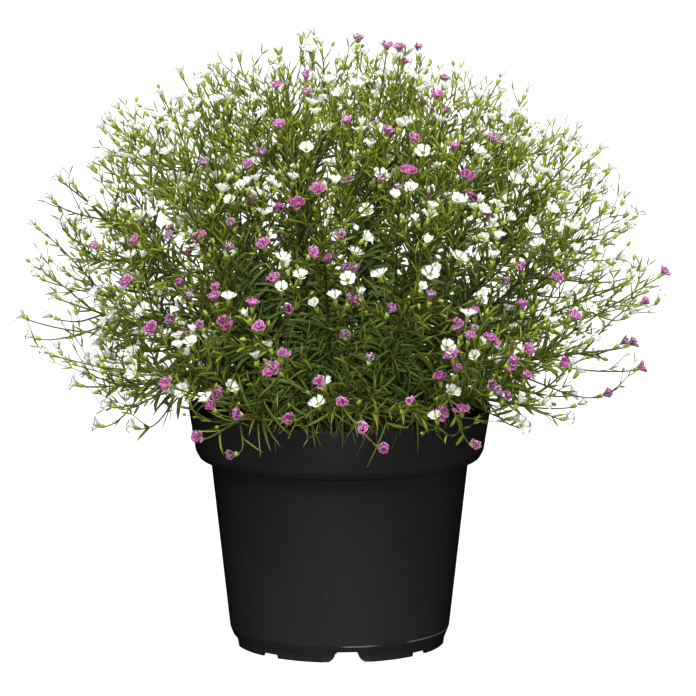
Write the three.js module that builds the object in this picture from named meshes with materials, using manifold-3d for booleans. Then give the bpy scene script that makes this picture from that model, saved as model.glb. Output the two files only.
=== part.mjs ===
// A potted cushion baby's breath: a low airy dome of forked green stems with narrow leaves, each tip ending
// in a small five-petalled bloom, grown close together in the soil of a black plastic nursery pot.
// Millimetres, +Z up. The origin is on the ground, under the middle of the pot.
import * as THREE from "three";
import { mergeVertices } from "three/addons/utils/BufferGeometryUtils.js";
import Module from "manifold-3d";

const wasm = await Module();
wasm.setup();

// Driving dimensions of the pot
const POT = {
  height: 103,
  rimRadius: 65,
  collarRadius: 62, // at the collar's foot
  collarFoot: 84.5, // height at which the deep collar starts to turn in
  collarTurn: 1.6, // how far it turns in
  shoulder: 80.6, // height at which the tapered body meets the collar
  shoulderRadius: 55.5,
  heel: 7.4, // height of the chamfer above the foot ring
  heelRadius: 47.4,
  footRadius: 45.3,
  footWall: 1.7,
  innerRing: { inside: 36.4, outside: 37.8, foot: 0.6 },
  wall: 1.1,
  base: { bottom: 5, top: 6.2 }, // the raised base
  sides: 32,
};
const NOTCH = { count: 4, width: 20.6, height: 4.9, archWide: 16, archStep: 1.6, archNarrow: 8.2 };
const SMALL_NOTCH = { count: 4, width: 8.6, height: 1.7 };
const NOTCH_CUT = 8; // thickness of the block that cuts a notch through the foot ring
const ARCH_CUT = { from: 32, length: 10 }; // along the radius, through the inner ring
const DRAIN = { count: 4, radius: 4.5, ringRadius: 24, sides: 6 };

// Driving dimensions of the soil
const SOIL = { top: 95, crown: 0.6, edgeDrop: 1.6, seat: 0.3, sides: 18, holeDepth: 9, holeRadius: 1.8 };
const OVERSHOOT = 2; // how far a cutter reaches past what it cuts

// Driving dimensions of the plant
const STEM_COUNT = 44;
const TIP_COUNT = 246; // side branches asked for; those with no room are left out
const CROWN_RADIUS = 43; // the disc of soil that the stems stand in
const ROOT_HEIGHT = 1.6; // above the soil's top, where a stem starts to lean
// Every few stems in the spiral one is pink: their share, and how it falls to the top, the back and the sides
const PINK = { phase: 0.22, step: 0.29, share: 0.65, top: 0.2, front: 0.1, side: 0.5 };
const DOME = { centre: 145, side: 133, top: 109, lowest: 116, tuck: 0.14 };
const STEM = { foot: 1.0, end: 0.55 };
const KNOT = { heights: [0.1, 0.33, 0.56, 0.77], length: 1.5 }; // where leaves and branches leave a stem
const BRANCH = { middle: 0.55, end: 0.5 };
const BLOOM = { radius: 4.1, notch: 1.9, length: 4.4, dip: 2.4, petals: 5 };
const BUD = { radius: 1.15, length: 3.6, twig: 12, neck: 0.45 };
const CORE = { widest: 4.5, slimmest: 2, ragged: 0.15 }; // leafy swellings between the knots
const LEAF = { thickness: 0.7, long: 27, short: 12, wide: 3.0, narrow: 1.8 };
const CLEARANCE = 0.45;
const LEAST_LEAN = 0.4; // of a limb out of its stem, in radians
const MOST_LEAN = 1.15;
const MOST_BEND = 1;
const YOUNG = 4.5; // length of a limb's young part, next to the knot it leaves
const GOLDEN_TURN = Math.PI * (3 - Math.sqrt(5));
const UP = new THREE.Vector3(0, 0, 1);

// A seeded random source, so that the plant grows the same way every time
function makeRandom(seed) {
  let state = seed;
  return () => {
    state = (state + 0x6d2b79f5) | 0;
    let t = Math.imul(state ^ (state >>> 15), 1 | state);
    t = (t + Math.imul(t ^ (t >>> 7), 61 | t)) ^ t;
    return ((t ^ (t >>> 14)) >>> 0) / 4294967296;
  };
}
const random = makeRandom(61);
const between = (low, high) => low + (high - low) * random();
const mix = (a, b, share) => a + (b - a) * share;

// Solids

function toSolid(geometry) {
  const bare = geometry.index ? geometry.toNonIndexed() : geometry.clone();
  bare.deleteAttribute("normal");
  bare.deleteAttribute("uv");
  const merged = mergeVertices(bare, 1e-4);
  return new wasm.Manifold(
    new wasm.Mesh({
      numProp: 3,
      vertProperties: new Float32Array(merged.attributes.position.array),
      triVerts: new Uint32Array(merged.index.array),
    }),
  );
}

// A solid turned about the upright axis, from an outline of radius and height
function turnedSolid(outline, sides) {
  const profile = outline.map(([radius, height]) => new THREE.Vector2(radius, height));
  return toSolid(new THREE.LatheGeometry(profile, sides).rotateX(Math.PI / 2));
}

function toMesh(solid, name, material) {
  const made = solid.getMesh();
  const geometry = new THREE.BufferGeometry();
  geometry.setAttribute("position", new THREE.BufferAttribute(made.vertProperties, 3));
  geometry.setIndex(new THREE.BufferAttribute(made.triVerts, 1));
  geometry.computeVertexNormals();
  const mesh = new THREE.Mesh(geometry, material);
  mesh.name = name;
  return mesh;
}

// One closed skin that grows ring by ring, each ring anticlockwise about the direction of travel.
// A knot leaves its faces open, so that a leaf or a branch can go on from the edges of any of them.
class Skin {
  points = [];
  faces = [];
  open = [];

  addRing(points) {
    const start = this.points.length;
    this.points.push(...points);
    return points.map((_, k) => start + k);
  }

  // Turns a ring's numbering so that it starts where the ring before it does, seen along the way between them
  matched(low, high) {
    const middleOf = (ring) =>
      ring.reduce((sum, i) => sum.add(this.points[i]), new THREE.Vector3()).divideScalar(ring.length);
    const [lowMiddle, highMiddle] = [middleOf(low), middleOf(high)];
    const way = highMiddle.clone().sub(lowMiddle).normalize();
    const spoke = (i, middle) => this.points[i].clone().sub(middle).projectOnPlane(way).normalize();
    const first = spoke(low[0], lowMiddle);
    const fit = high.map((i) => spoke(i, highMiddle).dot(first));
    const start = fit.indexOf(Math.max(...fit));
    return high.map((_, k) => high[(k + start) % high.length]);
  }

  // The faces between two rings; the rings may differ in count, and a ring of one point is an apex
  bridge(low, unmatched) {
    const high = this.matched(low, unmatched);
    const [n, m] = [low.length, high.length];
    const faces = [];
    let [i, j] = [0, 0];
    while (i < n || (m > 1 && j < m)) {
      if (m === 1 || (i < n && (i + 0.5) / n < (j + 0.5) / m) || j >= m) {
        faces.push([low[i], low[(i + 1) % n], high[j % m]]);
        i++;
      } else {
        faces.push([low[i % n], high[(j + 1) % m], high[j]]);
        j++;
      }
    }
    return faces;
  }

  // Goes on from a ring through further rings of points and returns the last one
  extend(from, rings) {
    let last = from;
    for (const points of rings) {
      const ring = this.addRing(points);
      this.faces.push(...this.bridge(last, ring));
      last = ring;
    }
    return last;
  }

  close(ring) {
    for (let k = 1; k + 1 < ring.length; k++) this.faces.push([ring[0], ring[k], ring[k + 1]]);
  }

  toGeometry() {
    const geometry = new THREE.BufferGeometry().setFromPoints(this.points);
    return geometry.setIndex([...this.faces, ...this.open].flat());
  }
}

// Pot: a lathed shell with a deep collar, a foot ring, a raised base, drain notches and drain holes

function makePot() {
  const { wall, footRadius, footWall, heelRadius, heel, shoulder, shoulderRadius, innerRing, base } = POT;
  const { collarRadius, collarFoot, collarTurn, height, rimRadius } = POT;
  const outline = [
    [0, base.bottom], [innerRing.inside, base.bottom], [innerRing.inside, innerRing.foot],
    [innerRing.outside, innerRing.foot], [innerRing.outside, base.bottom],
    [footRadius - footWall, base.bottom], [footRadius - footWall, 0], [footRadius, 0],
    [footRadius + 0.4, 3], [heelRadius, heel], [shoulderRadius, shoulder],
    [collarRadius - collarTurn, shoulder + 1], [collarRadius, collarFoot], [rimRadius, height],
    [rimRadius - wall, height], [collarRadius - wall, collarFoot + 0.4],
    [shoulderRadius - wall, shoulder + wall], [heelRadius - wall, base.top], [0, base.top],
  ];
  let pot = turnedSolid(outline, POT.sides);
  for (let k = 0; k < NOTCH.count; k++) {
    const turn = (k / NOTCH.count) * 2 * Math.PI - Math.PI / 2;
    const skirt = new THREE.BoxGeometry(NOTCH_CUT, NOTCH.width, 2 * NOTCH.height);
    skirt.translate(footRadius, 0, 0).rotateZ(turn);
    const channel = new THREE.ExtrudeGeometry(archShape(), { depth: ARCH_CUT.length, bevelEnabled: false });
    channel.rotateX(Math.PI / 2).rotateZ(Math.PI / 2).translate(ARCH_CUT.from, 0, 0).rotateZ(turn);
    pot = pot.subtract(toSolid(skirt)).subtract(toSolid(channel));
  }
  for (let k = 0; k < SMALL_NOTCH.count; k++) {
    const turn = ((k + 0.5) / SMALL_NOTCH.count) * 2 * Math.PI;
    const nick = new THREE.BoxGeometry(NOTCH_CUT, SMALL_NOTCH.width, 2 * SMALL_NOTCH.height);
    pot = pot.subtract(toSolid(nick.translate(footRadius, 0, 0).rotateZ(turn)));
  }
  for (let k = 0; k < DRAIN.count; k++) {
    const turn = ((k + 0.5) / DRAIN.count) * 2 * Math.PI;
    const drill = new THREE.CylinderGeometry(DRAIN.radius, DRAIN.radius, 2 * OVERSHOOT, DRAIN.sides);
    drill.rotateX(Math.PI / 2).translate(DRAIN.ringRadius, 0, (base.bottom + base.top) / 2).rotateZ(turn);
    pot = pot.subtract(toSolid(drill));
  }
  return pot;
}

// The opening that a drain notch leaves in the inner ring, stepped in towards its top
function archShape() {
  const { archWide, archNarrow, archStep, height } = NOTCH;
  return new THREE.Shape([
    new THREE.Vector2(-archWide / 2, -OVERSHOOT), new THREE.Vector2(archWide / 2, -OVERSHOOT),
    new THREE.Vector2(archWide / 2 - archStep, archStep), new THREE.Vector2(archNarrow / 2, height),
    new THREE.Vector2(-archNarrow / 2, height), new THREE.Vector2(archStep - archWide / 2, archStep),
  ]);
}

// Soil: fills the pot to below the rim, with one plain hole for each stem

function makeSoil(stems) {
  const { wall, heelRadius, shoulder, shoulderRadius, collarRadius, collarFoot, base } = POT;
  const { seat, top, crown, edgeDrop, sides, holeRadius, holeDepth } = SOIL;
  const [room, floor] = [wall + 2 * seat, base.top + seat];
  let soil = turnedSolid([
    [0, floor], [heelRadius - room, floor], [shoulderRadius - room, shoulder + wall + seat],
    [collarRadius - room, collarFoot + wall], [collarRadius - seat, top - edgeDrop], [0, top + crown],
  ], sides);
  for (const { root } of stems) {
    const drill = new THREE.CylinderGeometry(holeRadius, holeRadius, holeDepth + 2 * OVERSHOOT, 3);
    drill.rotateX(Math.PI / 2).rotateZ(Math.PI).translate(root.x, root.y, top + OVERSHOOT - holeDepth / 2);
    soil = soil.subtract(toSolid(drill));
  }
  return soil;
}

// The dome

// A point of the dome: polar from the top and turn about the axis in radians, share 1 on its surface
function domePoint(polar, turn, share) {
  const { side, top, centre, tuck } = DOME;
  const low = Math.max(0, (polar * 180) / Math.PI - 92) / 22;
  const round = 1 / Math.hypot(Math.sin(polar) / side, Math.cos(polar) / top);
  const reach = round * (1 - tuck * low) * share;
  const out = reach * Math.sin(polar);
  return new THREE.Vector3(out * Math.cos(turn), out * Math.sin(turn), centre + reach * Math.cos(polar));
}

const polarOf = (share) => Math.acos(1 - share * (1 - Math.cos((DOME.lowest * Math.PI) / 180)));
const outward = (polar, turn) =>
  new THREE.Vector3(Math.sin(polar) * Math.cos(turn), Math.sin(polar) * Math.sin(turn), Math.cos(polar));
const sideways = (turn) => new THREE.Vector3(-Math.sin(turn), Math.cos(turn), 0);

// A smooth curve that leaves one point along a direction and arrives at another along a direction
function bow(from, leaving, to, arriving, pullOut, pullIn) {
  const length = from.distanceTo(to);
  return new THREE.CubicBezierCurve3(
    from,
    from.clone().addScaledVector(leaving, length * pullOut),
    to.clone().addScaledVector(arriving, -length * pullIn),
    to,
  );
}

// Evenly spaced points about a direction; the first one stands towards side, or phase radians past it
function ringAround(centre, along, side, radius, count, phase = 0) {
  const u = side.clone().addScaledVector(along, -side.dot(along)).normalize();
  const v = along.clone().cross(u);
  return Array.from({ length: count }, (_, k) => {
    const angle = phase + (k / count) * 2 * Math.PI;
    const spoke = u.clone().multiplyScalar(Math.cos(angle)).addScaledVector(v, Math.sin(angle));
    return centre.clone().addScaledVector(spoke, radius);
  });
}

// Room between pieces: each is kept as capsules, and a new one must stay clear of them all.
// Only its young part, next to the knot it leaves, may come near that stem and the others that leave it.

const capsules = [];

function gapBetween(first, second) {
  const d1 = first.to.clone().sub(first.from);
  const d2 = second.to.clone().sub(second.from);
  const r = first.from.clone().sub(second.from);
  const [a, e, f, c, b] = [d1.dot(d1), d2.dot(d2), d2.dot(r), d1.dot(r), d1.dot(d2)];
  const clamp = (x) => Math.min(1, Math.max(0, x));
  const spread = a * e - b * b;
  let s = spread > 1e-9 ? clamp((b * f - c * e) / spread) : 0;
  let t = e > 1e-9 ? (b * s + f) / e : 0;
  if (t < 0 || t > 1) {
    t = clamp(t);
    s = a > 1e-9 ? clamp((b * t - c) / a) : 0;
  }
  return r.addScaledVector(d1, s).addScaledVector(d2, -t).length();
}

function clearOfPot(p, radius) {
  const room = radius + CLEARANCE;
  const out = Math.hypot(p.x, p.y);
  if (p.z > POT.height + room || out > POT.rimRadius + room) return true;
  return p.z > SOIL.top + SOIL.crown + room && out < POT.collarRadius - room;
}

const hasRoom = (pieces) =>
  pieces.every((piece) => {
    const outside = [0, 0.25, 0.5, 0.75, 1].every((t) =>
      clearOfPot(piece.from.clone().lerp(piece.to, t), piece.radius));
    if (!outside && !piece.young) return false;
    return capsules.every((other) => {
      if (piece.young && (other.young || other.trunk) && other.owner === piece.owner) return true;
      return gapBetween(piece, other) > piece.radius + other.radius + CLEARANCE;
    });
  });

const capsulesAlong = (points, radius, owner) =>
  points.slice(1).map((to, k) => ({ from: points[k], to, radius, owner }));

function limb(points, radius, owner) {
  const [start, next, ...rest] = points;
  const parting = start.clone().lerp(next, Math.min(1, YOUNG / start.distanceTo(next)));
  const [young, ...older] = capsulesAlong([start, parting, next, ...rest], radius, owner);
  return [{ ...young, young: true }, ...older];
}

function bloomCapsules(at, facing, owner) {
  const mouth = at.clone().addScaledVector(facing, BLOOM.length);
  const throat = at.clone().addScaledVector(facing, 0.4 * BLOOM.length);
  return [
    { from: throat, to: mouth, radius: 0.6 * BLOOM.radius, owner },
    { from: mouth, to: mouth, radius: BLOOM.radius + 0.2, owner },
  ];
}

// Shapes of the pieces, as rings of points

// A star of petals on a funnel, dished in the middle
function bloomRings(at, facing, side) {
  const { radius, notch, length, dip, petals } = BLOOM;
  const star = ringAround(at, facing, side, 1, 2 * petals).map((p, k) => {
    const reach = k % 2 ? radius : notch;
    const lift = k % 2 ? length : length - 1;
    return p.sub(at).multiplyScalar(reach).add(at).addScaledVector(facing, lift);
  });
  return [star, [at.clone().addScaledVector(facing, dip)]];
}

// A leaf leans out of a stem towards side and bends away from it, with a keel under the blade
function leafCurve(site, length, lean, bend) {
  const towards = (angle) =>
    site.along.clone().multiplyScalar(Math.cos(angle)).addScaledVector(site.out, Math.sin(angle));
  const knee = site.at.clone().addScaledVector(towards(lean), 0.45 * length);
  return new THREE.QuadraticBezierCurve3(
    site.at, knee, knee.clone().addScaledVector(towards(lean + bend), 0.55 * length));
}

function leafRings(site, curve, width) {
  const across = site.along.clone().cross(site.out).normalize();
  const keel = curve.getTangent(0.5).cross(across).normalize().multiplyScalar(-LEAF.thickness);
  const [middle, half] = [curve.getPoint(0.5), across.multiplyScalar(width / 2)];
  const blade = [middle.clone().sub(half), middle.clone().add(keel), middle.clone().add(half)];
  return [blade, [curve.getPoint(1)]];
}

function budRings(at, facing, side) {
  const belly = at.clone().addScaledVector(facing, 0.55 * BUD.length);
  return [
    ringAround(at, facing, side, BUD.neck, 3),
    ringAround(belly, facing, side, BUD.radius, 3),
    [at.clone().addScaledVector(facing, BUD.length)],
  ];
}

// Main stems, each with its knots and the bloom at its tip

function plantStem(i) {
  const share = (i + 0.5) / STEM_COUNT;
  const polar = polarOf(share);
  const turn = i * GOLDEN_TURN + between(-0.05, 0.05);
  const foot = CROWN_RADIUS * Math.sqrt(share);
  const root = new THREE.Vector3(foot * Math.cos(turn), foot * Math.sin(turn), SOIL.top + ROOT_HEIGHT);
  const tip = domePoint(polar, turn + between(-0.06, 0.06), between(0.9, 1.02));
  const facing = outward(0.8 * polar, turn);
  const curve = bow(root, outward(Math.min(0.5 * polar, 0.66), turn), tip, facing, 0.46, 0.28);
  const way = outward(polar, turn);
  const pinkShare = PINK.share - PINK.top * way.z - PINK.front * way.y - PINK.side * Math.abs(way.x);
  const colour = (PINK.phase + i * PINK.step) % 1 < pinkShare ? "pink" : "white";
  return { owner: i, colour, root, turn, curve, facing, way, skin: new Skin(), sites: [], spans: [] };
}

function growKnot(stem, before, t) {
  const { skin, curve, sites } = stem;
  const later = t + KNOT.length / curve.getLength();
  const phase = before.phase + between(-0.6, 0.6);
  const [low, high] = [t, later].map((at) => {
    const radius = mix(STEM.foot, STEM.end, at);
    return ringAround(curve.getPoint(at), curve.getTangent(at), sideways(stem.turn), radius, 3, phase);
  });
  const [lowRing, highRing] = [low, high].map((ring) => skin.addRing(ring));
  stem.spans.push({ ...before, to: lowRing, end: t });
  const made = skin.bridge(lowRing, highRing).map((face, k) => {
    const [a, b, c] = face.map((index) => skin.points[index]);
    const at = a.clone().add(b).add(c).divideScalar(3);
    const out = b.clone().sub(a).cross(c.clone().sub(a)).normalize();
    return { face, at, out, along: curve.getTangent(t), t, upper: k % 2 === 0, least: 0 };
  });
  for (const site of made) {
    site.below = made.find((other) => !other.upper && site.upper && other.out.dot(site.out) > 0.9);
  }
  skin.open.push(...made.map((site) => site.face));
  sites.push(...made);
  return { from: highRing, start: later, phase };
}

function growStems() {
  const stems = Array.from({ length: STEM_COUNT }, (_, i) => plantStem(i));
  for (const stem of stems) {
    const { skin, root, curve, facing, owner } = stem;
    const side = sideways(stem.turn);
    const buried = root.clone().setZ(SOIL.top + 0.4 - SOIL.holeDepth);
    const bottom = skin.addRing(ringAround(buried, UP, sideways(0), STEM.foot, 3));
    skin.close([...bottom].reverse());
    const collar = skin.extend(bottom, [ringAround(root, UP, sideways(0), STEM.foot, 3)]);
    let last = { from: collar, start: 0, phase: -stem.turn };
    for (const t of KNOT.heights) last = growKnot(stem, last, t);
    const tip = curve.getPoint(1);
    skin.extend(last.from, [ringAround(tip, facing, side, STEM.end, 3), ...bloomRings(tip, facing, side)]);
    const joints = [0, ...KNOT.heights, 1].map((t) => curve.getPoint(t));
    const trunk = capsulesAlong(joints, STEM.foot - 0.1, owner);
    capsules.push(...trunk.map((piece) => ({ ...piece, trunk: true })));
    capsules.push(...bloomCapsules(tip, facing, owner));
  }
  return stems;
}

// How far a limb leans out of its stem, or nothing if it doesn't keep to its own side of the stem
function leanOf(site, limbEnd) {
  const way = limbEnd.clone().sub(site.at).normalize();
  const outwards = way.clone().addScaledVector(site.along, -way.dot(site.along));
  const lean = Math.asin(Math.min(1, outwards.length()));
  const keeps = way.dot(site.along) > 0 && outwards.dot(site.out) > 0.62 * outwards.length();
  return keeps && lean > Math.max(LEAST_LEAN, site.least) && lean < MOST_LEAN ? lean : null;
}

// What leaves a knot goes on from one of its open faces. What leaves below it must lean out further
function sprout(stem, site, rings, pieces, lean) {
  if (site.below) site.below.least = lean + 0.45;
  capsules.push(...pieces);
  stem.skin.open.splice(stem.skin.open.indexOf(site.face), 1);
  stem.sites.splice(stem.sites.indexOf(site), 1);
  stem.skin.extend(site.face, rings);
}

// Side branches: their tips are spread evenly over the dome, and each joins the stem whose way is nearest

function branchTo(stem, site, tip, facing) {
  const leaving = site.along.clone().multiplyScalar(0.8).addScaledVector(site.out, 0.6).normalize();
  const curve = bow(site.at, leaving, tip, facing, 0.32, 0.3);
  const side = leaving.clone().cross(facing);
  if (side.length() < 0.1) side.copy(sideways(stem.turn));
  const [from, middle, to] = curve.getPoints(2);
  const elbow = ringAround(middle, to.clone().sub(from).normalize(), side, BRANCH.middle, 3);
  const rings = [elbow, ringAround(tip, facing, side, BRANCH.end, 3), ...bloomRings(tip, facing, side)];
  const pieces = limb([from, middle, to], BRANCH.middle, stem.owner);
  pieces.push(...bloomCapsules(tip, facing, stem.owner));
  const bend = middle.clone().sub(from).angleTo(to.clone().sub(middle));
  return { rings, pieces, lean: bend < MOST_BEND ? leanOf(site, middle) : null };
}

function growBranches(stems) {
  for (let j = 0; j < TIP_COUNT; j++) {
    for (let attempt = 0; attempt < 8; attempt++) {
      const polar = polarOf((j + 0.5) / TIP_COUNT) + between(-0.07, 0.07);
      const turn = j * GOLDEN_TURN + between(-0.08, 0.08);
      const tip = domePoint(polar, turn, 1.03 - 0.34 * random() ** 1.5);
      const facing = outward(Math.max(0, 0.82 * polar + between(-0.2, 0.1)), turn + between(-0.2, 0.2));
      const way = outward(polar, turn);
      const stem = stems.reduce((best, other) => (other.way.dot(way) > best.way.dot(way) ? other : best));
      const apart = tip.distanceTo(stem.curve.getPoint(1));
      const fork = 0.84 - apart / 95;
      const strain = (site) => {
        const aim = tip.clone().sub(site.at).normalize().dot(site.out);
        return 3 * Math.abs(site.t - fork) - aim;
      };
      const free = stem.sites.filter((site) => site.upper && site.t > 0.2);
      const fitting = free.sort((a, b) => strain(a) - strain(b)).slice(0, 4);
      const grown = fitting.some((site) => {
        const { rings, pieces, lean } = branchTo(stem, site, tip, facing);
        if (lean === null || !hasRoom(pieces)) return false;
        sprout(stem, site, rings, pieces, lean);
        return true;
      });
      if (grown) break;
    }
  }
}

// Buds on bare twigs, from the uppermost knot that has room for one

function growBuds(stems) {
  for (const stem of stems) {
    stem.sites.filter((site) => site.upper).reverse().some((site) => {
      const lean = between(0.5, 0.8);
      const rise = site.along.clone().multiplyScalar(Math.cos(lean));
      const facing = rise.addScaledVector(site.out, Math.sin(lean));
      const neck = site.at.clone().addScaledVector(facing, BUD.twig * between(0.8, 1.3));
      const pieces = limb([site.at, neck], BUD.neck, stem.owner);
      pieces.push({ from: neck, to: neck.clone().addScaledVector(facing, BUD.length), radius: BUD.radius });
      if (leanOf(site, neck) === null || !hasRoom(pieces)) return false;
      sprout(stem, site, budRings(neck, facing, sideways(stem.turn)), pieces, lean);
      return true;
    });
  }
}

// Leaves, long and wide near the foot of a stem and shorter and narrower above

function growLeaves(stems) {
  for (const stem of stems) {
    for (const site of [...stem.sites].sort((a, b) => b.upper - a.upper)) {
      const share = Math.min(1, site.t * 1.3);
      const width = mix(LEAF.wide, LEAF.narrow, share);
      for (let attempt = 0; attempt < 4; attempt++) {
        const length = mix(LEAF.long, LEAF.short, share) * between(0.85, 1.12);
        const curve = leafCurve(site, length, between(0.5, 1.0), between(0.3, 0.9));
        const lean = leanOf(site, curve.getPoint(0.5));
        const pieces = limb(curve.getPoints(2), 0.45 * width, stem.owner);
        if (lean === null || !hasRoom(pieces)) continue;
        sprout(stem, site, leafRings(site, curve, width), pieces, lean);
        break;
      }
    }
  }
}

// Between its knots a stem swells into a slim ragged core, as wide as there is room for

function growCores(stems) {
  for (const stem of stems) {
    for (const { from, to, start, end } of stem.spans) {
      const axis = [0.15, 0.35, 0.65, 0.85].map((share) => stem.curve.getPoint(mix(start, end, share)));
      let widest = start > 0 ? CORE.widest : 0;
      const piecesAt = (radius) => capsulesAlong(axis, radius, stem.owner).map((piece, k) => (
        { ...piece, radius: k === 1 ? radius : 0.6 * radius, young: true, trunk: true }));
      while (widest >= CORE.slimmest && !hasRoom(piecesAt(widest))) widest -= 0.5;
      if (widest < CORE.slimmest) {
        stem.skin.faces.push(...stem.skin.bridge(from, to));
        continue;
      }
      capsules.push(...piecesAt(widest));
      const foot = stem.curve.getPoint(start);
      const ring = from.map((index) => {
        const t = mix(start, end, 0.5 + between(-CORE.ragged, CORE.ragged));
        const spoke = stem.skin.points[index].clone().sub(foot).projectOnPlane(stem.curve.getTangent(t));
        return stem.curve.getPoint(t).addScaledVector(spoke.normalize(), widest);
      });
      const last = stem.skin.extend(from, [ring]);
      stem.skin.faces.push(...stem.skin.bridge(last, to));
    }
  }
}

// Materials

const plastic = new THREE.MeshStandardMaterial({ color: 0x1c1d1d, roughness: 0.45, metalness: 0 });
const earth = new THREE.MeshStandardMaterial({ color: 0x2e2119, roughness: 1, metalness: 0 });
const green = new THREE.MeshStandardMaterial({ color: 0x6f8f2c, roughness: 0.6, metalness: 0 });

// Assembly

const stems = growStems();
growBranches(stems);
growBuds(stems);
growLeaves(stems);
growCores(stems);

const plant = new THREE.Group();
plant.add(toMesh(makePot(), "pot", plastic));
plant.add(toMesh(makeSoil(stems), "soil", earth));
for (const { owner, colour, skin } of stems) {
  const mesh = new THREE.Mesh(skin.toGeometry(), green);
  mesh.name = `${colour}_stem_${String(owner + 1).padStart(2, "0")}`;
  plant.add(mesh);
}
export default plant;
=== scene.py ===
# A potted cushion baby's breath as it looks on a pale studio floor. The plant's solids are traced from the
# frame, and each of their stems, leaves, buds and blooms is made again in full detail where it stands.
# Smaller shoots, leaves and buds then fill the plant out. Metres, +Z up, -Y towards the camera.
import math

import bmesh
import bpy
import numpy as np
from mathutils import Matrix, Vector, noise


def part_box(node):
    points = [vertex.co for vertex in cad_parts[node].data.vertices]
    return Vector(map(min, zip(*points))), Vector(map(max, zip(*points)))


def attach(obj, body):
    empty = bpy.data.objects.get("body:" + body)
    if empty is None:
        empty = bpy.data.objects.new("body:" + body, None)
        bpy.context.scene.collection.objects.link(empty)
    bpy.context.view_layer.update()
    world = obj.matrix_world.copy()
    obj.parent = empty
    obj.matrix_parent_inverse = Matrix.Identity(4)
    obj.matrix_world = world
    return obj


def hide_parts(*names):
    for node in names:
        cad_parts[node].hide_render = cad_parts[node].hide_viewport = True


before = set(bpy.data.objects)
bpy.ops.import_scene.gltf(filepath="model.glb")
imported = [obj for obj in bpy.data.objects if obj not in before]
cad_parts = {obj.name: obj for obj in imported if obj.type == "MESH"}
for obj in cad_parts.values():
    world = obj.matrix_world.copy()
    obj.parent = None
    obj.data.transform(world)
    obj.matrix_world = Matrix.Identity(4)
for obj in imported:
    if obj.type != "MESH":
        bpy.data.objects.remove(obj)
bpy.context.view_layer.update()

MM = 0.001
SEED = 11
random = np.random.default_rng(SEED)

# The pot, as in the solids
POT_LOW, POT_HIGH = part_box("pot")
RIM_RADIUS = (POT_HIGH.x - POT_LOW.x) / 2
POT_HEIGHT = POT_HIGH.z - POT_LOW.z
WALL = 1.1 * MM
COLLAR_RADIUS = RIM_RADIUS - 3 * MM
COLLAR_FOOT = 84.5 * MM
COLLAR_SOLE = {"in": 1.6 * MM, "rise": 1 * MM}
SHOULDER = 80.6 * MM
SHOULDER_RADIUS = 55.5 * MM
HEEL = 7.4 * MM
HEEL_RADIUS = 47.4 * MM
FOOT_RADIUS = 45.3 * MM
FOOT_WALL = 1.7 * MM
FOOT_FLARE = {"out": 0.4 * MM, "rise": 3 * MM}
BASE = 5 * MM
BASE_TOP = BASE + 1.2 * MM
INNER_RING = (36.4 * MM, 37.8 * MM)
INNER_RING_FOOT = 0.6 * MM
INSIDE_RISE = {"shoulder": 1.2 * MM, "collar": 0.4 * MM}
CORNERS = {"radius": 0.55 * MM, "share": 0.45, "steps": 3}
POT_SIDES = 160
POT_CREASE = math.radians(38)
# Half width of the painted highlight line round the pot's heel
HEEL_GLINT_HALF_WIDTH = 0.4 * MM

# What is cut out of the pot. The arch has its half widths at these shares of its height
NOTCH = {"count": 4, "width": 20.6 * MM, "height": 4.3 * MM, "depth": 1.9 * MM}
ARCH = {"height": 4.9 * MM, "half_widths": (8.6 * MM, 7.4 * MM, 6.2 * MM, 5.4 * MM, 4.7 * MM, 4.2 * MM),
        "heights": (-0.2, 0.04, 0.2, 0.42, 0.75, 1), "inward": 13 * MM, "outward": 3 * MM}
NICK = {"count": 4, "width": 8.6 * MM, "height": 1.7 * MM}
DRAIN = {"count": 4, "radius": 4.5 * MM, "ring": 24 * MM, "sides": 24, "beyond": 2 * MM}
CUT_BEYOND = 4 * MM

# The soil. Its lumps are given by how many there are in a metre and by their height
SOIL_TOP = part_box("soil")[1].z
SOIL_SEAT = 0.3 * MM
SOIL_GAP = 0.5 * MM
SOIL_SIDES = 96
SOIL_RINGS = 26
SOIL_RISE = {"shoulder": 1.6 * MM, "collar": 0.8 * MM}
SOIL_EDGE = {"below": 2.2 * MM, "foot": 0.4 * MM, "out": 1.1 * MM, "share": 0.98}
SOIL_CROWN = 1.2 * MM
HAIR = 0.001 * MM
LUMPS = ((90, 1.1 * MM), (310, 0.9 * MM))
STREWN = {"below": 1 * MM, "inside": 1.5 * MM}
CRUMBS = {"Spacing": 1.7 * MM, "Density": 420000.0, "Least": 0.5 * MM, "Most": 1.7 * MM}
CRUMB = {"radius": 0.5, "sizes": (0.7, 1.2), "flatness": 0.7}

# The plant's dome. It tucks in from this angle on, in degrees from straight up
DOME = {"centre": 145 * MM, "side": 133 * MM, "top": 109 * MM, "tuck": 0.14}
TUCK = {"from": 92.0, "span": 22.0, "most": 1.1}

# The solids' stems. Their ends tell a stem from a branch, and their rings are counted from the foot
WELD = 0.01 * MM
STEM_END = 0.55 * MM
BRANCH_END = 0.5 * MM
SOLID_SIDES = 3
EVEN_RING = 0.9
START_RING = 1
KNOT_RING = 4
PASSED = {"stem": 0.33, "branch": 0.5}
PULL = {"stem": 0.28, "branch": 0.3}
CORE_LEAST = 1.6 * MM

# Thickness of what grows, as a radius at the foot and at the tip, and how finely it is drawn
STEM_THICK = (0.85 * MM, 0.36 * MM)
BRANCH_THICK = (0.48 * MM, 0.3 * MM)
TWIG_THICK = (0.31 * MM, 0.2 * MM)
STALK_THICK = (0.2 * MM, 0.15 * MM)
STEM_STEP = 4 * MM
STEM_POINTS = {"least": 3, "measured": 9}
STEM_SIDES = 5
TWIG_SIDES = 3

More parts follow.
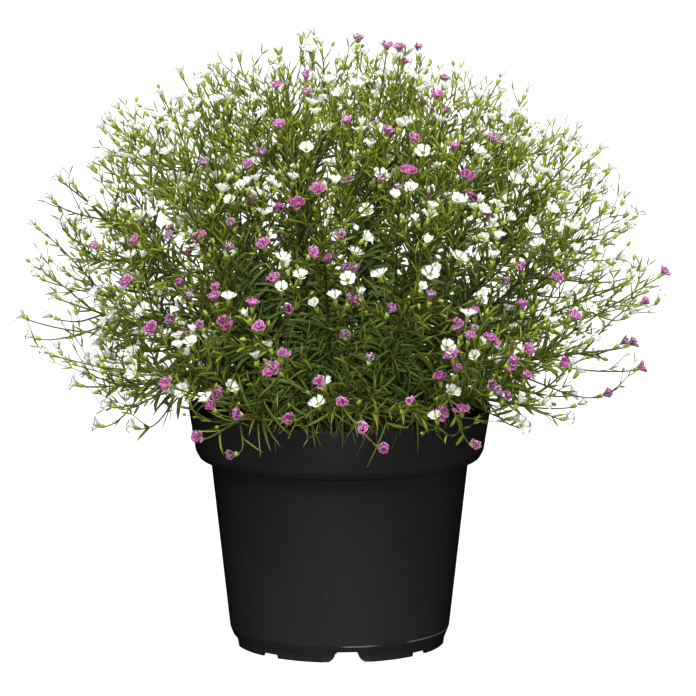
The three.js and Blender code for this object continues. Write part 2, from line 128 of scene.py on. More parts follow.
# Blooms, as in the solids. A petal's outline is its half width at shares of its length
BLOOM = {"radius": 4.1 * MM, "length": 4.4 * MM, "throat": 2.2 * MM, "petals": 5}
PETAL = {"foot": 0.35 * MM, "width": 1.66 * MM, "half_thick": 0.07 * MM, "cup": 0.3 * MM, "fold": 0.1 * MM,
         "notch": 0.07, "rounding": 0.2, "arch": 1.6}
PETAL_OUTLINE = ((0, 0.33, 0.67, 1), (0.2, 0.58, 1, 0.88))
PETAL_ROWS = 3
PETAL_COLUMNS = 4
PETAL_VEINS = 15.7
TRANSLUCENT = {"Subsurface Weight": 0.7, "Subsurface Radius": (1.0, 1.0, 1.0), "Subsurface Scale": 1.0 * MM}
STAMEN = {"foot": (0.3 * MM, 1.9 * MM), "head": (1.05 * MM, 3.9 * MM), "lift": 0.22 * MM, "point": 0.5 * MM,
          "radii": (0.06 * MM, 0.05 * MM, 0.27 * MM), "shares": (0, 0.6, 0.9), "sides": 3}

# How a bloom stands: how far it opens, and what its whorls of petals do. A whorl has a reach and a turn
BLOOM_LIFT = 0.3
OPEN = {"range": (0.42, 1.08), "most": 1.0, "faded": 0.8, "narrow": 0.72, "stamens": 0.85}
STAND = {"least": 1.1, "closed": 0.9, "open": 1.04, "inner": 0.4, "vary": (0.95, 1.05)}
WHITE_WHORLS = ((1.0, 0.0),)
PINK_WHORLS = ((1.0, 0.0), (0.7, 0.5))
RAGGED = {"pink": 2.2, "turn": 0.1, "length": 0.09, "lean": 0.06}
FADED = 0.68

# Calyx and bud. A calyx's rings are given by radius and height, on a rib and beside it
CALYX_RINGS = (
    ((0.34 * MM, 0.0), (0.34 * MM, 0.0)),
    ((0.78 * MM, 0.7 * MM), (0.68 * MM, 0.7 * MM)),
    ((0.98 * MM, 2.0 * MM), (0.84 * MM, 2.0 * MM)),
    ((1.2 * MM, 3.1 * MM), (0.92 * MM, 2.3 * MM)),
)
CALYX_ENDS = (-0.1 * MM, 2.4 * MM)
BUD = {"radius": 1.0 * MM, "length": 3.6 * MM, "sides": 6, "groove": 0.9}
BUD_VARY = {"size": (0.65, 1.0), "roll": (0, 6.3)}
BUD_RINGS = ((0.3, 0.03), (0.8, 0.24), (1.0, 0.46), (0.6, 0.76))

# Leaves: long and broad round the crown, from which the stems rise, short and narrow far from it
CROWN = {"height": 95 * MM, "lush": 60 * MM, "sparse": 116 * MM, "narrow": 1.2}
INNER_LUSH = 0.4
LUSH_AGE = 0.8
# Shares of the dome over which leaves and stems go from their surface colour to the darker green inside,
# partly older growth and partly painted shade
AGE_SHADE_DEPTHS = (0.45, 0.95)
LEAF_SHORT = 5.8 * MM
LEAF_LONG = 20 * MM
LEAF_NARROW = 0.56 * MM
LEAF_WIDE = 1.3 * MM
LEAF_VARY = {"length": (0.75, 1.25), "width": (0.8, 1.15), "tone": 0.3, "turn": 0.25, "twist": 0.25}
LEAF_LEAN = {"range": (0.25, 0.55), "lush": 0.3}
LEAF_BEND = {"range": (0.0, 0.3), "lush": 0.65, "droop": 0.7}
LEAF_LIGHT = {"out": 0.4, "up": 0.7}
LEAF_POWERS = {"length": 1.2, "width": 0.7, "small": 0.5, "age": 0.5}
LEAF_SEAT = 0.2 * MM
LEAF_THICKNESS = 0.2
LEAF_GROOVE = 0.16
LEAF_VEINS = 26.0
LEAF_OUTLINE = ((0.0, 0.22, 0.5, 0.8, 1.0), (0.4, 0.86, 1.0, 0.76, 0.12))
LEAF_LAYERS = {
    "leaves_low": {"least": 0.5, "sides": 4, "stations": (0.0, 0.22, 0.5, 0.8, 1.0)},
    "leaves_middle": {"least": 0.14, "sides": 4, "stations": (0.0, 0.3, 0.7, 1.0)},
    "leaves_high": {"least": 0.0, "sides": 3, "stations": (0.0, 0.3, 0.7, 1.0)},
}

# Growth that the solids leave out: leaf pairs, leafy shoots and sprays along the stems, shoots at the rim.
# Two numbers are the ends of a range. Places along a stem are shares of its length, and angles are in radians
TONES = (0.2, 0.8)
KNEE = (0.45, 0.55)
AHEAD = 0.02
UPRIGHT = 0.05
PAIR_GAP = {"stem": 6 * MM, "branch": 5.5 * MM, "shoot": 4.8 * MM}
PAIR_VARY = {"gap": (0.75, 1.25), "turn": 0.3}
PAIR_FIRST = {"stem": 0.03, "branch": 0.2}
PAIR_LAST = 0.9
SHOOT_GAP = {"stem": 7 * MM, "branch": 8.5 * MM}
SHOOT_PLACES = {"after": 0.08, "last": 0.7}
SHOOT = {"lengths": (12 * MM, 26 * MM), "lean": (0.35, 0.8), "onward": 0.6, "upward": 0.35,
         "leaves": (0.3, 0.98), "small": 0.85}
SPRAY_SHARES = ((0.45, 0.57), (0.59, 0.71), (0.73, 0.84), (0.86, 0.95))
SPRAY_LENGTHS = (11 * MM, 8.5 * MM, 7 * MM)
SPRAY = {"vary": (0.75, 1.3), "rise": 0.45, "spread": 0.3, "lean": (0.4, 0.9), "fork": (0.3, 0.7),
         "turn": 0.3, "small": 0.85, "last_small": 0.7, "twig_levels": 2}
SPRAY_BUDS = 0.32
REACH = (0.88, 1.08)
RIM_SHOOTS = {"count": 46, "turn": 0.4, "sides": (0.55, 0.8), "tones": (0.2, 0.7), "leaves": (0.15, 1.0)}
RIM_OUT = {"foot": (40 * MM, 52 * MM), "crest": (56 * MM, 64 * MM), "end": (70 * MM, 82 * MM)}
RIM_UP = {"crest": (14 * MM, 28 * MM), "end": (0, 16 * MM)}

# Where sprays end in blooms, which blooms are pink, and where growth is left out. Of two places, a rule holds
# in full up to the first, and not at all beyond the second
SPRAY_BLOOMS = {"least": 0.2, "most": 0.44, "heights": (175 * MM, 225 * MM), "sides": (85 * MM, 125 * MM)}
STRAYS = {"on_pink": (0.09, 0.66), "on_white": 0.36, "heights": (158 * MM, 198 * MM),
          "sides": (45 * MM, 90 * MM), "rim": (150 * MM, 110 * MM), "least": 0.25}
AIRY = {"most": 0.78, "out": (114 * MM, 58 * MM), "heights": (130 * MM, 205 * MM)}
BARE_RIM = {"from": 44 * MM, "to": 74 * MM, "below": 107 * MM}
LOWEST = 90 * MM
CLEAR = {"rim": 1.5 * MM, "above": 2 * MM, "collar": 4 * MM}

# The camera and the light. Directions are in degrees, azimuth 0 being the pot's front
SENSOR = 36.0
VIEW_WIDTH = 298.6 * MM
VIEW_DISTANCE = 2.0
VIEW = {"azimuth": -4, "rise": 9}
VIEW_CENTRE = Vector((3.6 * MM, 0, 128 * MM))
FLOOR = {"radius": 9.0, "sides": 64, "shade": (0.16, 0.16, 0.16, 1)}
AMBIENT = 0.15
SUNS = {
    "key": {"azimuth": -14, "rise": 56, "strength": 6.9, "softness": 38, "glints": True},
    "fill": {"azimuth": 30, "rise": 34, "strength": 0.8, "softness": 60, "glints": False},
    "back": {"azimuth": 165, "rise": 42, "strength": 1.8, "softness": 50, "glints": False},
}
FRONT_LAMP = {"place": Vector((-0.05, -2.4, 0.3)), "size": (0.4, 0.8), "power": 20}


# Node trees


class Value:
    """One output socket of a tree. Sums with it add Math nodes."""

    def __init__(self, tree, node, name=None):
        self.tree = tree
        self.node = node
        shown = [socket for socket in node.outputs if socket.enabled]
        self.socket = next((socket for socket in shown if socket.name == name), shown[0])

    def out(self, name):
        return Value(self.tree, self.node, name)

    def maths(self, operation, *others):
        return self.tree.add("ShaderNodeMath", {"operation": operation}, dict(enumerate((self, *others))))

    def __add__(self, other):
        return self.maths("ADD", other)

    def __sub__(self, other):
        return self.maths("SUBTRACT", other)

    def __rsub__(self, other):
        return self.tree.add("ShaderNodeMath", {"operation": "SUBTRACT"}, {0: other, 1: self})

    def __mul__(self, other):
        return self.maths("MULTIPLY", other)

    def __abs__(self):
        return self.maths("ABSOLUTE")

    __radd__ = __add__
    __rmul__ = __mul__

    def ramp(self, low, high):
        """0 below low, 1 above high and smooth between them."""
        settings = {"interpolation_type": "SMOOTHSTEP"}
        sockets = {"Value": self, "From Min": low, "From Max": high}
        return self.tree.add("ShaderNodeMapRange", settings, sockets)


class Tree:
    """A node tree in the making, for a shape or for a material."""

    def __init__(self, tree):
        self.tree = tree

    def add(self, kind, settings=None, sockets=None, output=None):
        node = self.tree.nodes.new(kind)
        for name, setting in (settings or {}).items():
            setattr(node, name, setting)
        shown = [socket for socket in node.inputs if socket.enabled]
        for name, value in (sockets or {}).items():
            socket = shown[name] if isinstance(name, int) else next(s for s in shown if s.name == name)
            if isinstance(value, Value):
                self.tree.links.new(value.socket, socket)
            else:
                socket.default_value = value
        return Value(self, node, output) if node.outputs else node


class ShapeTree(Tree):
    """A Geometry Nodes tree with named inputs."""

    def __init__(self, name, inputs):
        super().__init__(bpy.data.node_groups.new(name, "GeometryNodeTree"))
        face = self.tree.interface
        face.new_socket("Geometry", in_out="INPUT", socket_type="NodeSocketGeometry")
        face.new_socket("Geometry", in_out="OUTPUT", socket_type="NodeSocketGeometry")
        for label, kind in inputs.items():
            face.new_socket(label, in_out="INPUT", socket_type="NodeSocket" + kind)
        self.source = self.add("NodeGroupInput")

    def given(self, label):
        return self.source.out(label)

    def attribute(self, name, kind="FLOAT"):
        return self.add("GeometryNodeInputNamedAttribute", {"data_type": kind}, {"Name": name})

    def stored(self, geometry, name, value):
        settings = {"data_type": "FLOAT", "domain": "POINT"}
        sockets = {"Geometry": geometry, "Name": name, "Value": value}
        return self.add("GeometryNodeStoreNamedAttribute", settings, sockets)

    def finished(self, geometry):
        """Ends the tree with plain, smooth faces of the given material."""
        realised = self.add("GeometryNodeRealizeInstances", None, {"Geometry": geometry})
        smooth = self.add("GeometryNodeSetShadeSmooth", None, {"Geometry": realised})
        sockets = {"Geometry": smooth, "Material": self.given("Material")}
        self.add("NodeGroupOutput", None, {0: self.add("GeometryNodeSetMaterial", None, sockets)})
        return self.tree


def shaped(name, source, tree, values):
    """The piece that a tree makes of a source mesh, as a plain mesh."""
    scratch = bpy.data.objects.new(name + "_source", source)
    bpy.context.scene.collection.objects.link(scratch)
    modifier = scratch.modifiers.new("shape", "NODES")
    modifier.node_group = tree
    for item in tree.interface.items_tree:
        if item.name in values and item.in_out == "INPUT":
            modifier[item.identifier] = values[item.name]
    evaluated = scratch.evaluated_get(bpy.context.evaluated_depsgraph_get())
    mesh = bpy.data.meshes.new_from_object(evaluated)
    mesh.name = name
    bpy.data.objects.remove(scratch)
    bpy.data.meshes.remove(source)
    return placed(name, mesh)


def placed(name, data):
    piece = bpy.data.objects.new(name, data)
    bpy.context.scene.collection.objects.link(piece)
    return piece


def with_attributes(mesh, values):
    """Gives a mesh's points one attribute for each array: numbers, vectors or turns, by its width."""
    kinds = {1: ("FLOAT", "value"), 3: ("FLOAT_VECTOR", "vector"), 4: ("QUATERNION", "value")}
    for name, array in values.items():
        kind, field = kinds[array.shape[1] if array.ndim == 2 else 1]
        mesh.attributes.new(name, kind, "POINT").data.foreach_set(field, array.astype(np.float32).ravel())
    return mesh


def sweep_tree(name, blade):
    """Sweeps a section along each strand: round for stems, and for leaves a thin blade with a keel."""
    tree = ShapeTree(name, {"Sides": "Int", "Thickness": "Float", "Groove": "Float", "Material": "Material"})
    strands = tree.add("GeometryNodeMeshToCurve", None, {"Mesh": tree.given("Geometry")})
    circle = {"Resolution": tree.given("Sides"), "Radius": 1.0}
    section = tree.add("GeometryNodeCurvePrimitiveCircle", None, circle)
    if blade:
        sockets = {"Curve": strands, "Normal": tree.attribute("face", "FLOAT_VECTOR")}
        strands = tree.add("GeometryNodeSetCurveNormal", {"mode": "FREE"}, sockets)
        place = tree.add("ShaderNodeSeparateXYZ", None, {"Vector": tree.add("GeometryNodeInputPosition")})
        across = place.out("Y")
        section = tree.stored(section, "across", across)
        rise = abs(across) * tree.given("Groove") - place.out("X") * tree.given("Thickness")
        flat = tree.add("ShaderNodeCombineXYZ", None, {"X": across, "Y": rise})
        section = tree.add("GeometryNodeSetPosition", None, {"Geometry": section, "Position": flat})
    sockets = {"Curve": strands, "Profile Curve": section, "Scale": tree.attribute("radius")}
    sockets["Fill Caps"] = True
    return tree.finished(tree.add("GeometryNodeCurveToMesh", None, sockets))


def scatter_tree(name):
    """Sets a copy of a small form on each point, turned and sized by the point's own attributes."""
    tree = ShapeTree(name, {"Form": "Object", "Material": "Material"})
    form = tree.add("GeometryNodeObjectInfo", None, {"Object": tree.given("Form")}, "Geometry")
    sockets = {
        "Points": tree.given("Geometry"),
        "Instance": form,
        "Rotation": tree.attribute("turn", "QUATERNION"),
        "Scale": tree.attribute("size", "FLOAT_VECTOR"),
    }
    return tree.finished(tree.add("GeometryNodeInstanceOnPoints", None, sockets))


def crumb_tree():
    """Strews crumbs over a surface, each turned and sized at random."""
    inputs = {"Form": "Object", "Spacing": "Float", "Density": "Float", "Least": "Float", "Most": "Float"}
    tree = ShapeTree("strewn crumbs", {**inputs, "Seed": "Int", "Material": "Material"})
    sockets = {
        "Mesh": tree.given("Geometry"),
        "Distance Min": tree.given("Spacing"),
        "Density Max": tree.given("Density"),
        "Seed": tree.given("Seed"),
    }
    points = tree.add("GeometryNodeDistributePointsOnFaces", {"distribute_method": "POISSON"}, sockets)
    turns = {"Min": (0.0, 0.0, 0.0), "Max": (2 * math.pi,) * 3, "Seed": tree.given("Seed")}
    turn = tree.add("FunctionNodeRandomValue", {"data_type": "FLOAT_VECTOR"}, turns)
    sizes = {"Min": tree.given("Least"), "Max": tree.given("Most"), "Seed": tree.given("Seed")}
    size = tree.add("FunctionNodeRandomValue", {"data_type": "FLOAT"}, sizes)
    form = tree.add("GeometryNodeObjectInfo", None, {"Object": tree.given("Form")}, "Geometry")
    sockets = {"Points": points, "Instance": form, "Scale": size}
    sockets["Rotation"] = tree.add("FunctionNodeEulerToRotation", None, {"Euler": turn})
    crumbs = tree.add("GeometryNodeInstanceOnPoints", None, sockets)
    return tree.finished(crumbs)


# Tracing of the solids


class Traced:
    """One stem's solid: its points, joined where they coincide, and which of them share an edge."""

    def __init__(self, solid):
        mesh = solid.data
        corners = np.empty(3 * len(mesh.vertices))
        mesh.vertices.foreach_get("co", corners)
        corners = corners.reshape(-1, 3)
        keys = np.round(corners / WELD).astype(int)
        _, first, index = np.unique(keys, axis=0, return_index=True, return_inverse=True)
        index = index.ravel()
        self.points = corners[first]
        self.near = [set() for _ in first]
        for face in mesh.polygons:
            for a in face.vertices:
                self.near[index[a]] |= {index[b] for b in face.vertices} - {index[a]}

    def centre(self, ring):
        return self.points[list(ring)].mean(axis=0)

    def radius(self, ring):
        return np.linalg.norm(self.points[list(ring)] - self.centre(ring), axis=1).mean()

    def beyond(self, ring, *seen):
        """The points that come next to a ring, without those already seen."""
        return set().union(*(self.near[i] for i in ring)).difference(ring, *seen)

    def star(self, apex):
        """A bloom's mouth round an apex, the ring of its stalk and its petal tips, or nothing elsewhere."""
        mouth = self.near[apex]
        if len(mouth) != 2 * BLOOM["petals"]:
            return None
        stalk = self.beyond(mouth, {apex})
        if len(stalk) != SOLID_SIDES:
            return None
        far = sorted(mouth, key=lambda i: np.linalg.norm(self.points[i] - self.points[apex]))
        return mouth, stalk, far[-BLOOM["petals"]:]


def unit(vector):
    return vector / np.linalg.norm(vector)


def bezier(controls, shares):
    """Points of a curve of any degree at these shares of its way."""
    shares = np.asarray(shares, float)[:, None]
    level = [np.broadcast_to(p, (len(shares), len(p))) for p in controls]
    while len(level) > 1:
        level = [a + (b - a) * shares for a, b in zip(level, level[1:])]
    return level[0]


def bow_through(start, passing, share, end, arriving, pull):
    """The bow from start to end that arrives along a direction and passes through a point at that share."""
    late = end - arriving * pull * np.linalg.norm(end - start)
    rest = 1 - share
    early = passing - rest**3 * start - 3 * rest * share**2 * late - share**3 * end
    return [start, early / (3 * rest**2 * share), late, end]


def trace_stem(solid):
    """What stands on one stem: its blooms, buds and leaves, and the bows of the stem, branches and twigs."""
    traced = Traced(solid)
    points = traced.points
    found = {"blooms": [], "buds": [], "leaves": [], "branches": [], "twigs": []}
    gone = set()
    tip = None
    for apex, ring in enumerate(traced.near):
        star = traced.star(apex)
        if star:
            mouth, stalk, petals = star
            end = traced.centre(stalk)
            facing = unit(points[apex] - end)
            found["blooms"].append((end, facing, unit(points[petals[0]] - end)))
            if traced.radius(stalk) > (STEM_END + BRANCH_END) / 2:
                tip = (end, facing, mouth | {apex})
                continue
            elbow = traced.beyond(stalk, mouth)
            base = traced.centre(traced.beyond(elbow, stalk))
            knot = traced.centre(elbow)
            bow = bow_through(base, knot, PASSED["branch"], end, facing, PULL["branch"])
            found["branches"].append(bow)
            gone |= mouth | stalk | elbow | {apex}
        elif len(ring) == SOLID_SIDES:
            sides = sorted(ring)
            a, b, c = points[sides]
            spans = [np.linalg.norm(b - c), np.linalg.norm(c - a), np.linalg.norm(a - b)]
            gone |= ring | {apex}
            if min(spans) > EVEN_RING * max(spans):
                neck = traced.beyond(ring, {apex})
                base = traced.centre(traced.beyond(neck, ring))
                found["buds"].append((traced.centre(neck), unit(points[apex] - traced.centre(neck))))
                found["twigs"].append([base, (base + traced.centre(neck)) / 2, traced.centre(neck)])
                gone |= neck
                continue
            keel = sides.pop(spans.index(max(spans)))
            middle = traced.centre(sides)
            base = traced.centre(traced.beyond(ring, {apex}))
            knee = 2 * middle - (base + points[apex]) / 2
            found["leaves"].append(([base, knee, points[apex]], unit(middle - points[keel]), max(spans) / 2))
    end, facing, top = tip
    foot = set(np.argsort(points[:, 2])[:SOLID_SIDES])
    rings, seen = [foot], set(foot)
    while True:
        ring = traced.beyond(rings[-1], seen, gone, top)
        if not ring:
            break
        rings.append(ring)
        seen |= ring
    slim = [ring for ring in rings if traced.radius(ring) < CORE_LEAST]
    start, knot = traced.centre(slim[START_RING]), traced.centre(slim[KNOT_RING])
    found["main"] = bow_through(start, knot, PASSED["stem"], end, facing, PULL["stem"])
    return found


# Growth


class Strands:
    """Lines of points that a section is swept along, each point with its own radius, tone, and age with
    painted shade (darker deep inside the plant).
    """

    def __init__(self):
        self.points = []
        self.edges = []
        self.values = {}
        self.count = 0

    def add(self, points, **values):
        order = self.count + np.arange(len(points))
        self.points.append(points)
        self.edges.append(np.column_stack([order[:-1], order[1:]]))
        for name, value in values.items():
            value = np.asarray(value, float)
            shape = (len(points), 3) if name == "face" else (len(points),)
            self.values.setdefault(name, []).append(np.broadcast_to(value, shape))
        self.count += len(points)

    def mesh(self, name):
        mesh = bpy.data.meshes.new(name)
        mesh.vertices.add(self.count)
        mesh.vertices.foreach_set("co", np.concatenate(self.points).astype(np.float32).ravel())
        edges = np.concatenate(self.edges)
        mesh.edges.add(len(edges))
        mesh.edges.foreach_set("vertices", edges.astype(np.int32).ravel())
        return with_attributes(mesh, {key: np.concatenate(rows) for key, rows in self.values.items()})


class Marks:
    """Points that a small form is set on, each with a turn, a size and further values."""

    def __init__(self):
        self.rows = []

    def add(self, at, facing, side, size, **values):
        across = unit(side - facing * np.dot(side, facing))
        axes = Matrix((across, np.cross(facing, across), facing)).transposed()
        self.rows.append({"at": at, "turn": tuple(axes.to_quaternion()), "size": size, **values})

    def mesh(self, name):
        mesh = bpy.data.meshes.new(name)
        mesh.vertices.add(len(self.rows))
        places = np.array([row["at"] for row in self.rows], np.float32)
        mesh.vertices.foreach_set("co", places.ravel())
        keys = [key for key in self.rows[0] if key != "at"]
        return with_attributes(mesh, {key: np.array([row[key] for row in self.rows]) for key in keys})


def mix(a, b, share):
    return a + (b - a) * share


def between(low, high):
    return random.uniform(low, high)


def astray(most):
    """A small amount either way."""
    return between(-most, most)


def any_turn():
    return between(0, 2 * math.pi)


def at_turn(turn, radius, height=0.0):
    """The place at this turn about the upright axis, this far from it and this high."""
    return np.array((radius * math.cos(turn), radius * math.sin(turn), height))


def fall(value, full, none):
    """1 at full and beyond it, 0 at none and beyond it, and evenly between them."""
    return float(np.clip((none - value) / (none - full), 0, 1))


def dome_share(point):
    """How far a point lies out towards the dome's surface: 0 at its centre, 1 on the surface."""
    out = math.hypot(point[0], point[1])
    up = point[2] - DOME["centre"]
    low = (math.degrees(math.atan2(out, up)) - TUCK["from"]) / TUCK["span"]
    tucked = 1 - DOME["tuck"] * min(max(0, low), TUCK["most"])
    return math.hypot(out / DOME["side"], up / DOME["top"]) / tucked


def age_and_shade_at(point):
    """1 deep inside the plant, 0 at its surface. It darkens leaves and stems there, partly for older growth
    and partly as painted shade.
    """
    return fall(dome_share(point), *AGE_SHADE_DEPTHS)


def lushness(point):
    """1 round the crown, where leaves are long and broad, 0 in the plant's outer and upper parts."""
    far = math.hypot(point[0] * CROWN["narrow"], point[1], point[2] - CROWN["height"])
    return max(fall(far, CROWN["lush"], CROWN["sparse"]), INNER_LUSH * age_and_shade_at(point))


def bloom_is_pink(point, pink):
    """Pink and white blooms mix: both kinds of stem bear pink ones oftener halfway up and in the middle."""
    low = fall(point[2], *STRAYS["heights"]) * mix(STRAYS["least"], 1, fall(point[2], *STRAYS["rim"]))
    if pink:
        return random.random() < mix(*STRAYS["on_pink"], low)
    return random.random() < STRAYS["on_white"] * low * fall(abs(point[0]), *STRAYS["sides"])


def left_airy(point):
    """Whether growth is left out here: the plant is airy in its outer parts, the more so low down."""
    share = fall(math.hypot(point[0], point[1]), *AIRY["out"]) * fall(point[2], *AIRY["heights"])
    return random.random() < AIRY["most"] * share


def blocked(point):
    """Whether a point lies in the pot or in the soil, or would hide one of the rim's bare ends."""
    if BARE_RIM["from"] < abs(point[0]) < BARE_RIM["to"] and point[2] < BARE_RIM["below"]:
        return True
    out = math.hypot(point[0], point[1])
    if out > RIM_RADIUS + CLEAR["rim"]:
        return False
    ground = SOIL_TOP if out < COLLAR_RADIUS - CLEAR["collar"] else POT_HEIGHT
    return point[2] < ground + CLEAR["above"]


def across_of(along):
    """Two directions square to a third and to each other."""
    side = np.cross(along, (0.0, 0.0, 1.0))
    side = unit(side) if np.linalg.norm(side) > UPRIGHT else np.array((1.0, 0.0, 0.0))
    return side, np.cross(along, side)


def around(along, roll):
    """The direction square to along that stands at this roll."""
    u, v = across_of(along)
    return u * math.cos(roll) + v * math.sin(roll)


def leaning(along, out, lean):
    """The direction that leans out of along by this angle."""
    return along * math.cos(lean) + out * math.sin(lean)


def bent(at, early, late, length):
    """The bow of a leaf or a shoot that sets out along one direction and ends along another."""
    knee = at + early * KNEE[0] * length
    return [at, knee, knee + late * KNEE[1] * length]


def stand_on(bow, share):
    """A point of a bow and the direction of its growth there."""
    at, ahead = bezier(bow, (share, share + AHEAD))
    return at, unit(ahead - at)


class Plant:
    """All that grows, gathered by what it is made of."""

    def __init__(self):
        self.stems = Strands()
        self.twigs = Strands()
        self.leaves = {layer: Strands() for layer in LEAF_LAYERS}
        self.blooms = []
        self.buds = []

    def add_stem(self, bow, thick, tone):
        """One stem or twig. Returns how long it is."""
        steps = np.diff(bezier(bow, np.linspace(0, 1, STEM_POINTS["measured"])), axis=0)
        length = np.linalg.norm(steps, axis=1).sum()
        shares = np.linspace(0, 1, max(STEM_POINTS["least"], round(length / STEM_STEP)))
        points = bezier(bow, shares)
        # How deep in the plant each point lies, which the stem's material turns into a darker colour: partly
        # older growth, partly painted shade
        age_shades = np.array([age_and_shade_at(point) for point in points])
        strands = self.stems if thick in (STEM_THICK, BRANCH_THICK) else self.twigs
        strands.add(points, radius=mix(thick[0], thick[1], shares), age=age_shades, tone=tone)
        return length

    def add_leaf(self, curve, face, half_width, tone):
        lush = lushness(curve[0])
        layer = next(name for name, kind in LEAF_LAYERS.items() if lush >= kind["least"])
        stations = np.array(LEAF_LAYERS[layer]["stations"])
        points = bezier(curve, stations)
        along = np.gradient(points, axis=0)
        along /= np.linalg.norm(along, axis=1)[:, None]
        faces = face - along * (along @ face)[:, None]
        outline = np.interp(stations, *LEAF_OUTLINE)
        # Painted shade deep inside the plant, together with the darker green of the old leaves round the
        # crown
        age = max(age_and_shade_at(points[-1]), LUSH_AGE * lush ** LEAF_POWERS["age"])
        self.leaves[layer].add(points, radius=half_width * outline, face=faces, age=age, tone=tone,
                               along=stations)

    def add_leaf_pair(self, at, along, roll, tone, small=1.0):
        """Two leaves that stand opposite each other on a stem."""
        lush = lushness(at)
        long = mix(LEAF_SHORT, LEAF_LONG, lush ** LEAF_POWERS["length"])
        wide = mix(LEAF_NARROW, LEAF_WIDE, lush ** LEAF_POWERS["width"])
        outward = LEAF_LIGHT["out"] * at[:2] / RIM_RADIUS
        lit = lush * np.array((*outward, LEAF_LIGHT["up"]))
        for half_turn in (0, math.pi):
            out = around(along, roll + half_turn + astray(LEAF_VARY["turn"]))
            length = long * between(*LEAF_VARY["length"]) * small
            lean = between(*LEAF_LEAN["range"]) + LEAF_LEAN["lush"] * lush
            bend = between(*LEAF_BEND["range"]) + LEAF_BEND["lush"] * lush
            late = leaning(along, out, lean + bend) - np.array((0, 0, between(0, LEAF_BEND["droop"]) * lush))
            curve = bent(at + out * LEAF_SEAT, leaning(along, out, lean), late, length)
            if blocked(curve[-1]):
                continue
            half_width = wide * between(*LEAF_VARY["width"]) * small ** LEAF_POWERS["small"]
            twist = LEAF_VARY["twist"] * around(along, any_turn())
            face = unit(along * math.sin(lean) - out * math.cos(lean) + twist + lit)
            self.add_leaf(curve, face, half_width, tone + astray(LEAF_VARY["tone"]))

    def add_pairs(self, bow, length, gap, first, last, tone, small=1.0):
        """Opposite pairs along a stem, each a quarter turn from the one before."""
        roll = between(0, math.pi)
        share = first
        while share < last:
            at, way = stand_on(bow, share)
            if not left_airy(at):
                self.add_leaf_pair(at, way, roll, tone, small)
            roll += math.pi / 2 + astray(PAIR_VARY["turn"])
            share += gap * between(*PAIR_VARY["gap"]) / length

    def add_spray(self, at, along, pink, tone, reach, level=0):
        """A fine shoot that forks again and again, with a pair of leaves at each fork."""
        length = SPRAY_LENGTHS[level] * between(*SPRAY["vary"])
        outward = np.array((SPRAY["spread"] * at[0], SPRAY["spread"] * at[1], DOME["side"]))
        late = unit(along + SPRAY["rise"] * outward / DOME["side"])
        bow = bent(at, along, late, length)
        end = bow[-1]
        if dome_share(end) > reach or end[2] < LOWEST or blocked(end):
            return
        self.add_stem(bow, TWIG_THICK if level < SPRAY["twig_levels"] else STALK_THICK, tone)
        if level == len(SPRAY_LENGTHS) - 1:
            self.add_tip(end, late, pink, tone)
            return
        roll = between(0, math.pi)
        self.add_leaf_pair(end, late, roll, tone, SPRAY["small"])
        for half_turn in (0, math.pi):
            out = around(late, roll + half_turn + astray(SPRAY["turn"]))
            self.add_spray(end, leaning(late, out, between(*SPRAY["fork"])), pink, tone, reach, level + 1)

    def add_tip(self, at, facing, pink, tone):
        """A bloom, a bud or a last pair of small leaves at the end of a shoot."""
        draw = random.random()
        amid = fall(at[2], *SPRAY_BLOOMS["heights"]) * fall(abs(at[0]), *SPRAY_BLOOMS["sides"])
        blooms = mix(SPRAY_BLOOMS["least"], SPRAY_BLOOMS["most"], amid)
        if draw < blooms:
            side = around(facing, any_turn())
            self.blooms.append((at, facing, side, bloom_is_pink(at, pink), tone))
        elif draw < blooms + SPRAY_BUDS:
            self.buds.append((at, facing, pink, tone, between(*BUD_VARY["size"])))
        else:
            self.add_leaf_pair(at, facing, between(0, math.pi), tone, SPRAY["last_small"])

    def add_leafy_shoot(self, at, along, out, length, tone):
        """A side shoot that carries leaves alone."""
        early = leaning(along, out, between(*SHOOT["lean"]))
        late = unit(early + along * SHOOT["onward"] + np.array((0, 0, SHOOT["upward"])))
        bow = bent(at, early, late, length)
        knee, end = bow[1:]
        if dome_share(end) > REACH[0] or end[2] < LOWEST or blocked(knee) or blocked(end):
            return
        self.add_stem(bow, TWIG_THICK, tone)
        self.add_pairs(bow, length, PAIR_GAP["shoot"], *SHOOT["leaves"], tone, SHOOT["small"])


def grow_plant():
    plant = Plant()
    for name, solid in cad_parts.items():
        if "stem" in name:
            grow_stem(plant, solid, name.startswith("pink"))
    grow_rim_shoots(plant)
    return plant


def grow_stem(plant, solid, pink):
    """One traced stem, and the smaller shoots that the solid leaves out."""
    found = trace_stem(solid)
    tone = between(*TONES)
    for end, facing, side in found["blooms"]:
        plant.blooms.append((end, facing, side, pink, tone))
    for end, facing in found["buds"]:
        plant.buds.append((end, facing, pink, tone, 1.0))
    for curve, face, half_width in found["leaves"]:
        plant.add_leaf(curve, face, half_width, tone)
    for bow in found["twigs"]:
        plant.add_stem(bow, TWIG_THICK, tone)
    grow_along(plant, found["main"], "stem", STEM_THICK, pink, tone)
    for bow in found["branches"]:
        grow_along(plant, bow, "branch", BRANCH_THICK, pink, tone)


def grow_along(plant, bow, kind, thick, pink, tone):
    """A stem or a branch with its leaves, its leafy shoots and, towards its tip, its sprays."""
    length = plant.add_stem(bow, thick, tone)
    plant.add_pairs(bow, length, PAIR_GAP[kind], PAIR_FIRST[kind], PAIR_LAST, tone)
    first = PAIR_FIRST[kind] + SHOOT_PLACES["after"]
    for share in np.arange(first, SHOOT_PLACES["last"], SHOOT_GAP[kind] / length):
        at, way = stand_on(bow, share)
        if not left_airy(at):
            out = around(way, any_turn())
            plant.add_leafy_shoot(at, way, out, between(*SHOOT["lengths"]), tone)
    for shares in SPRAY_SHARES:
        at, way = stand_on(bow, between(*shares))
        out = around(way, any_turn())
        if not left_airy(at):
            plant.add_spray(at, leaning(way, out, between(*SPRAY["lean"])), pink, tone, between(*REACH))


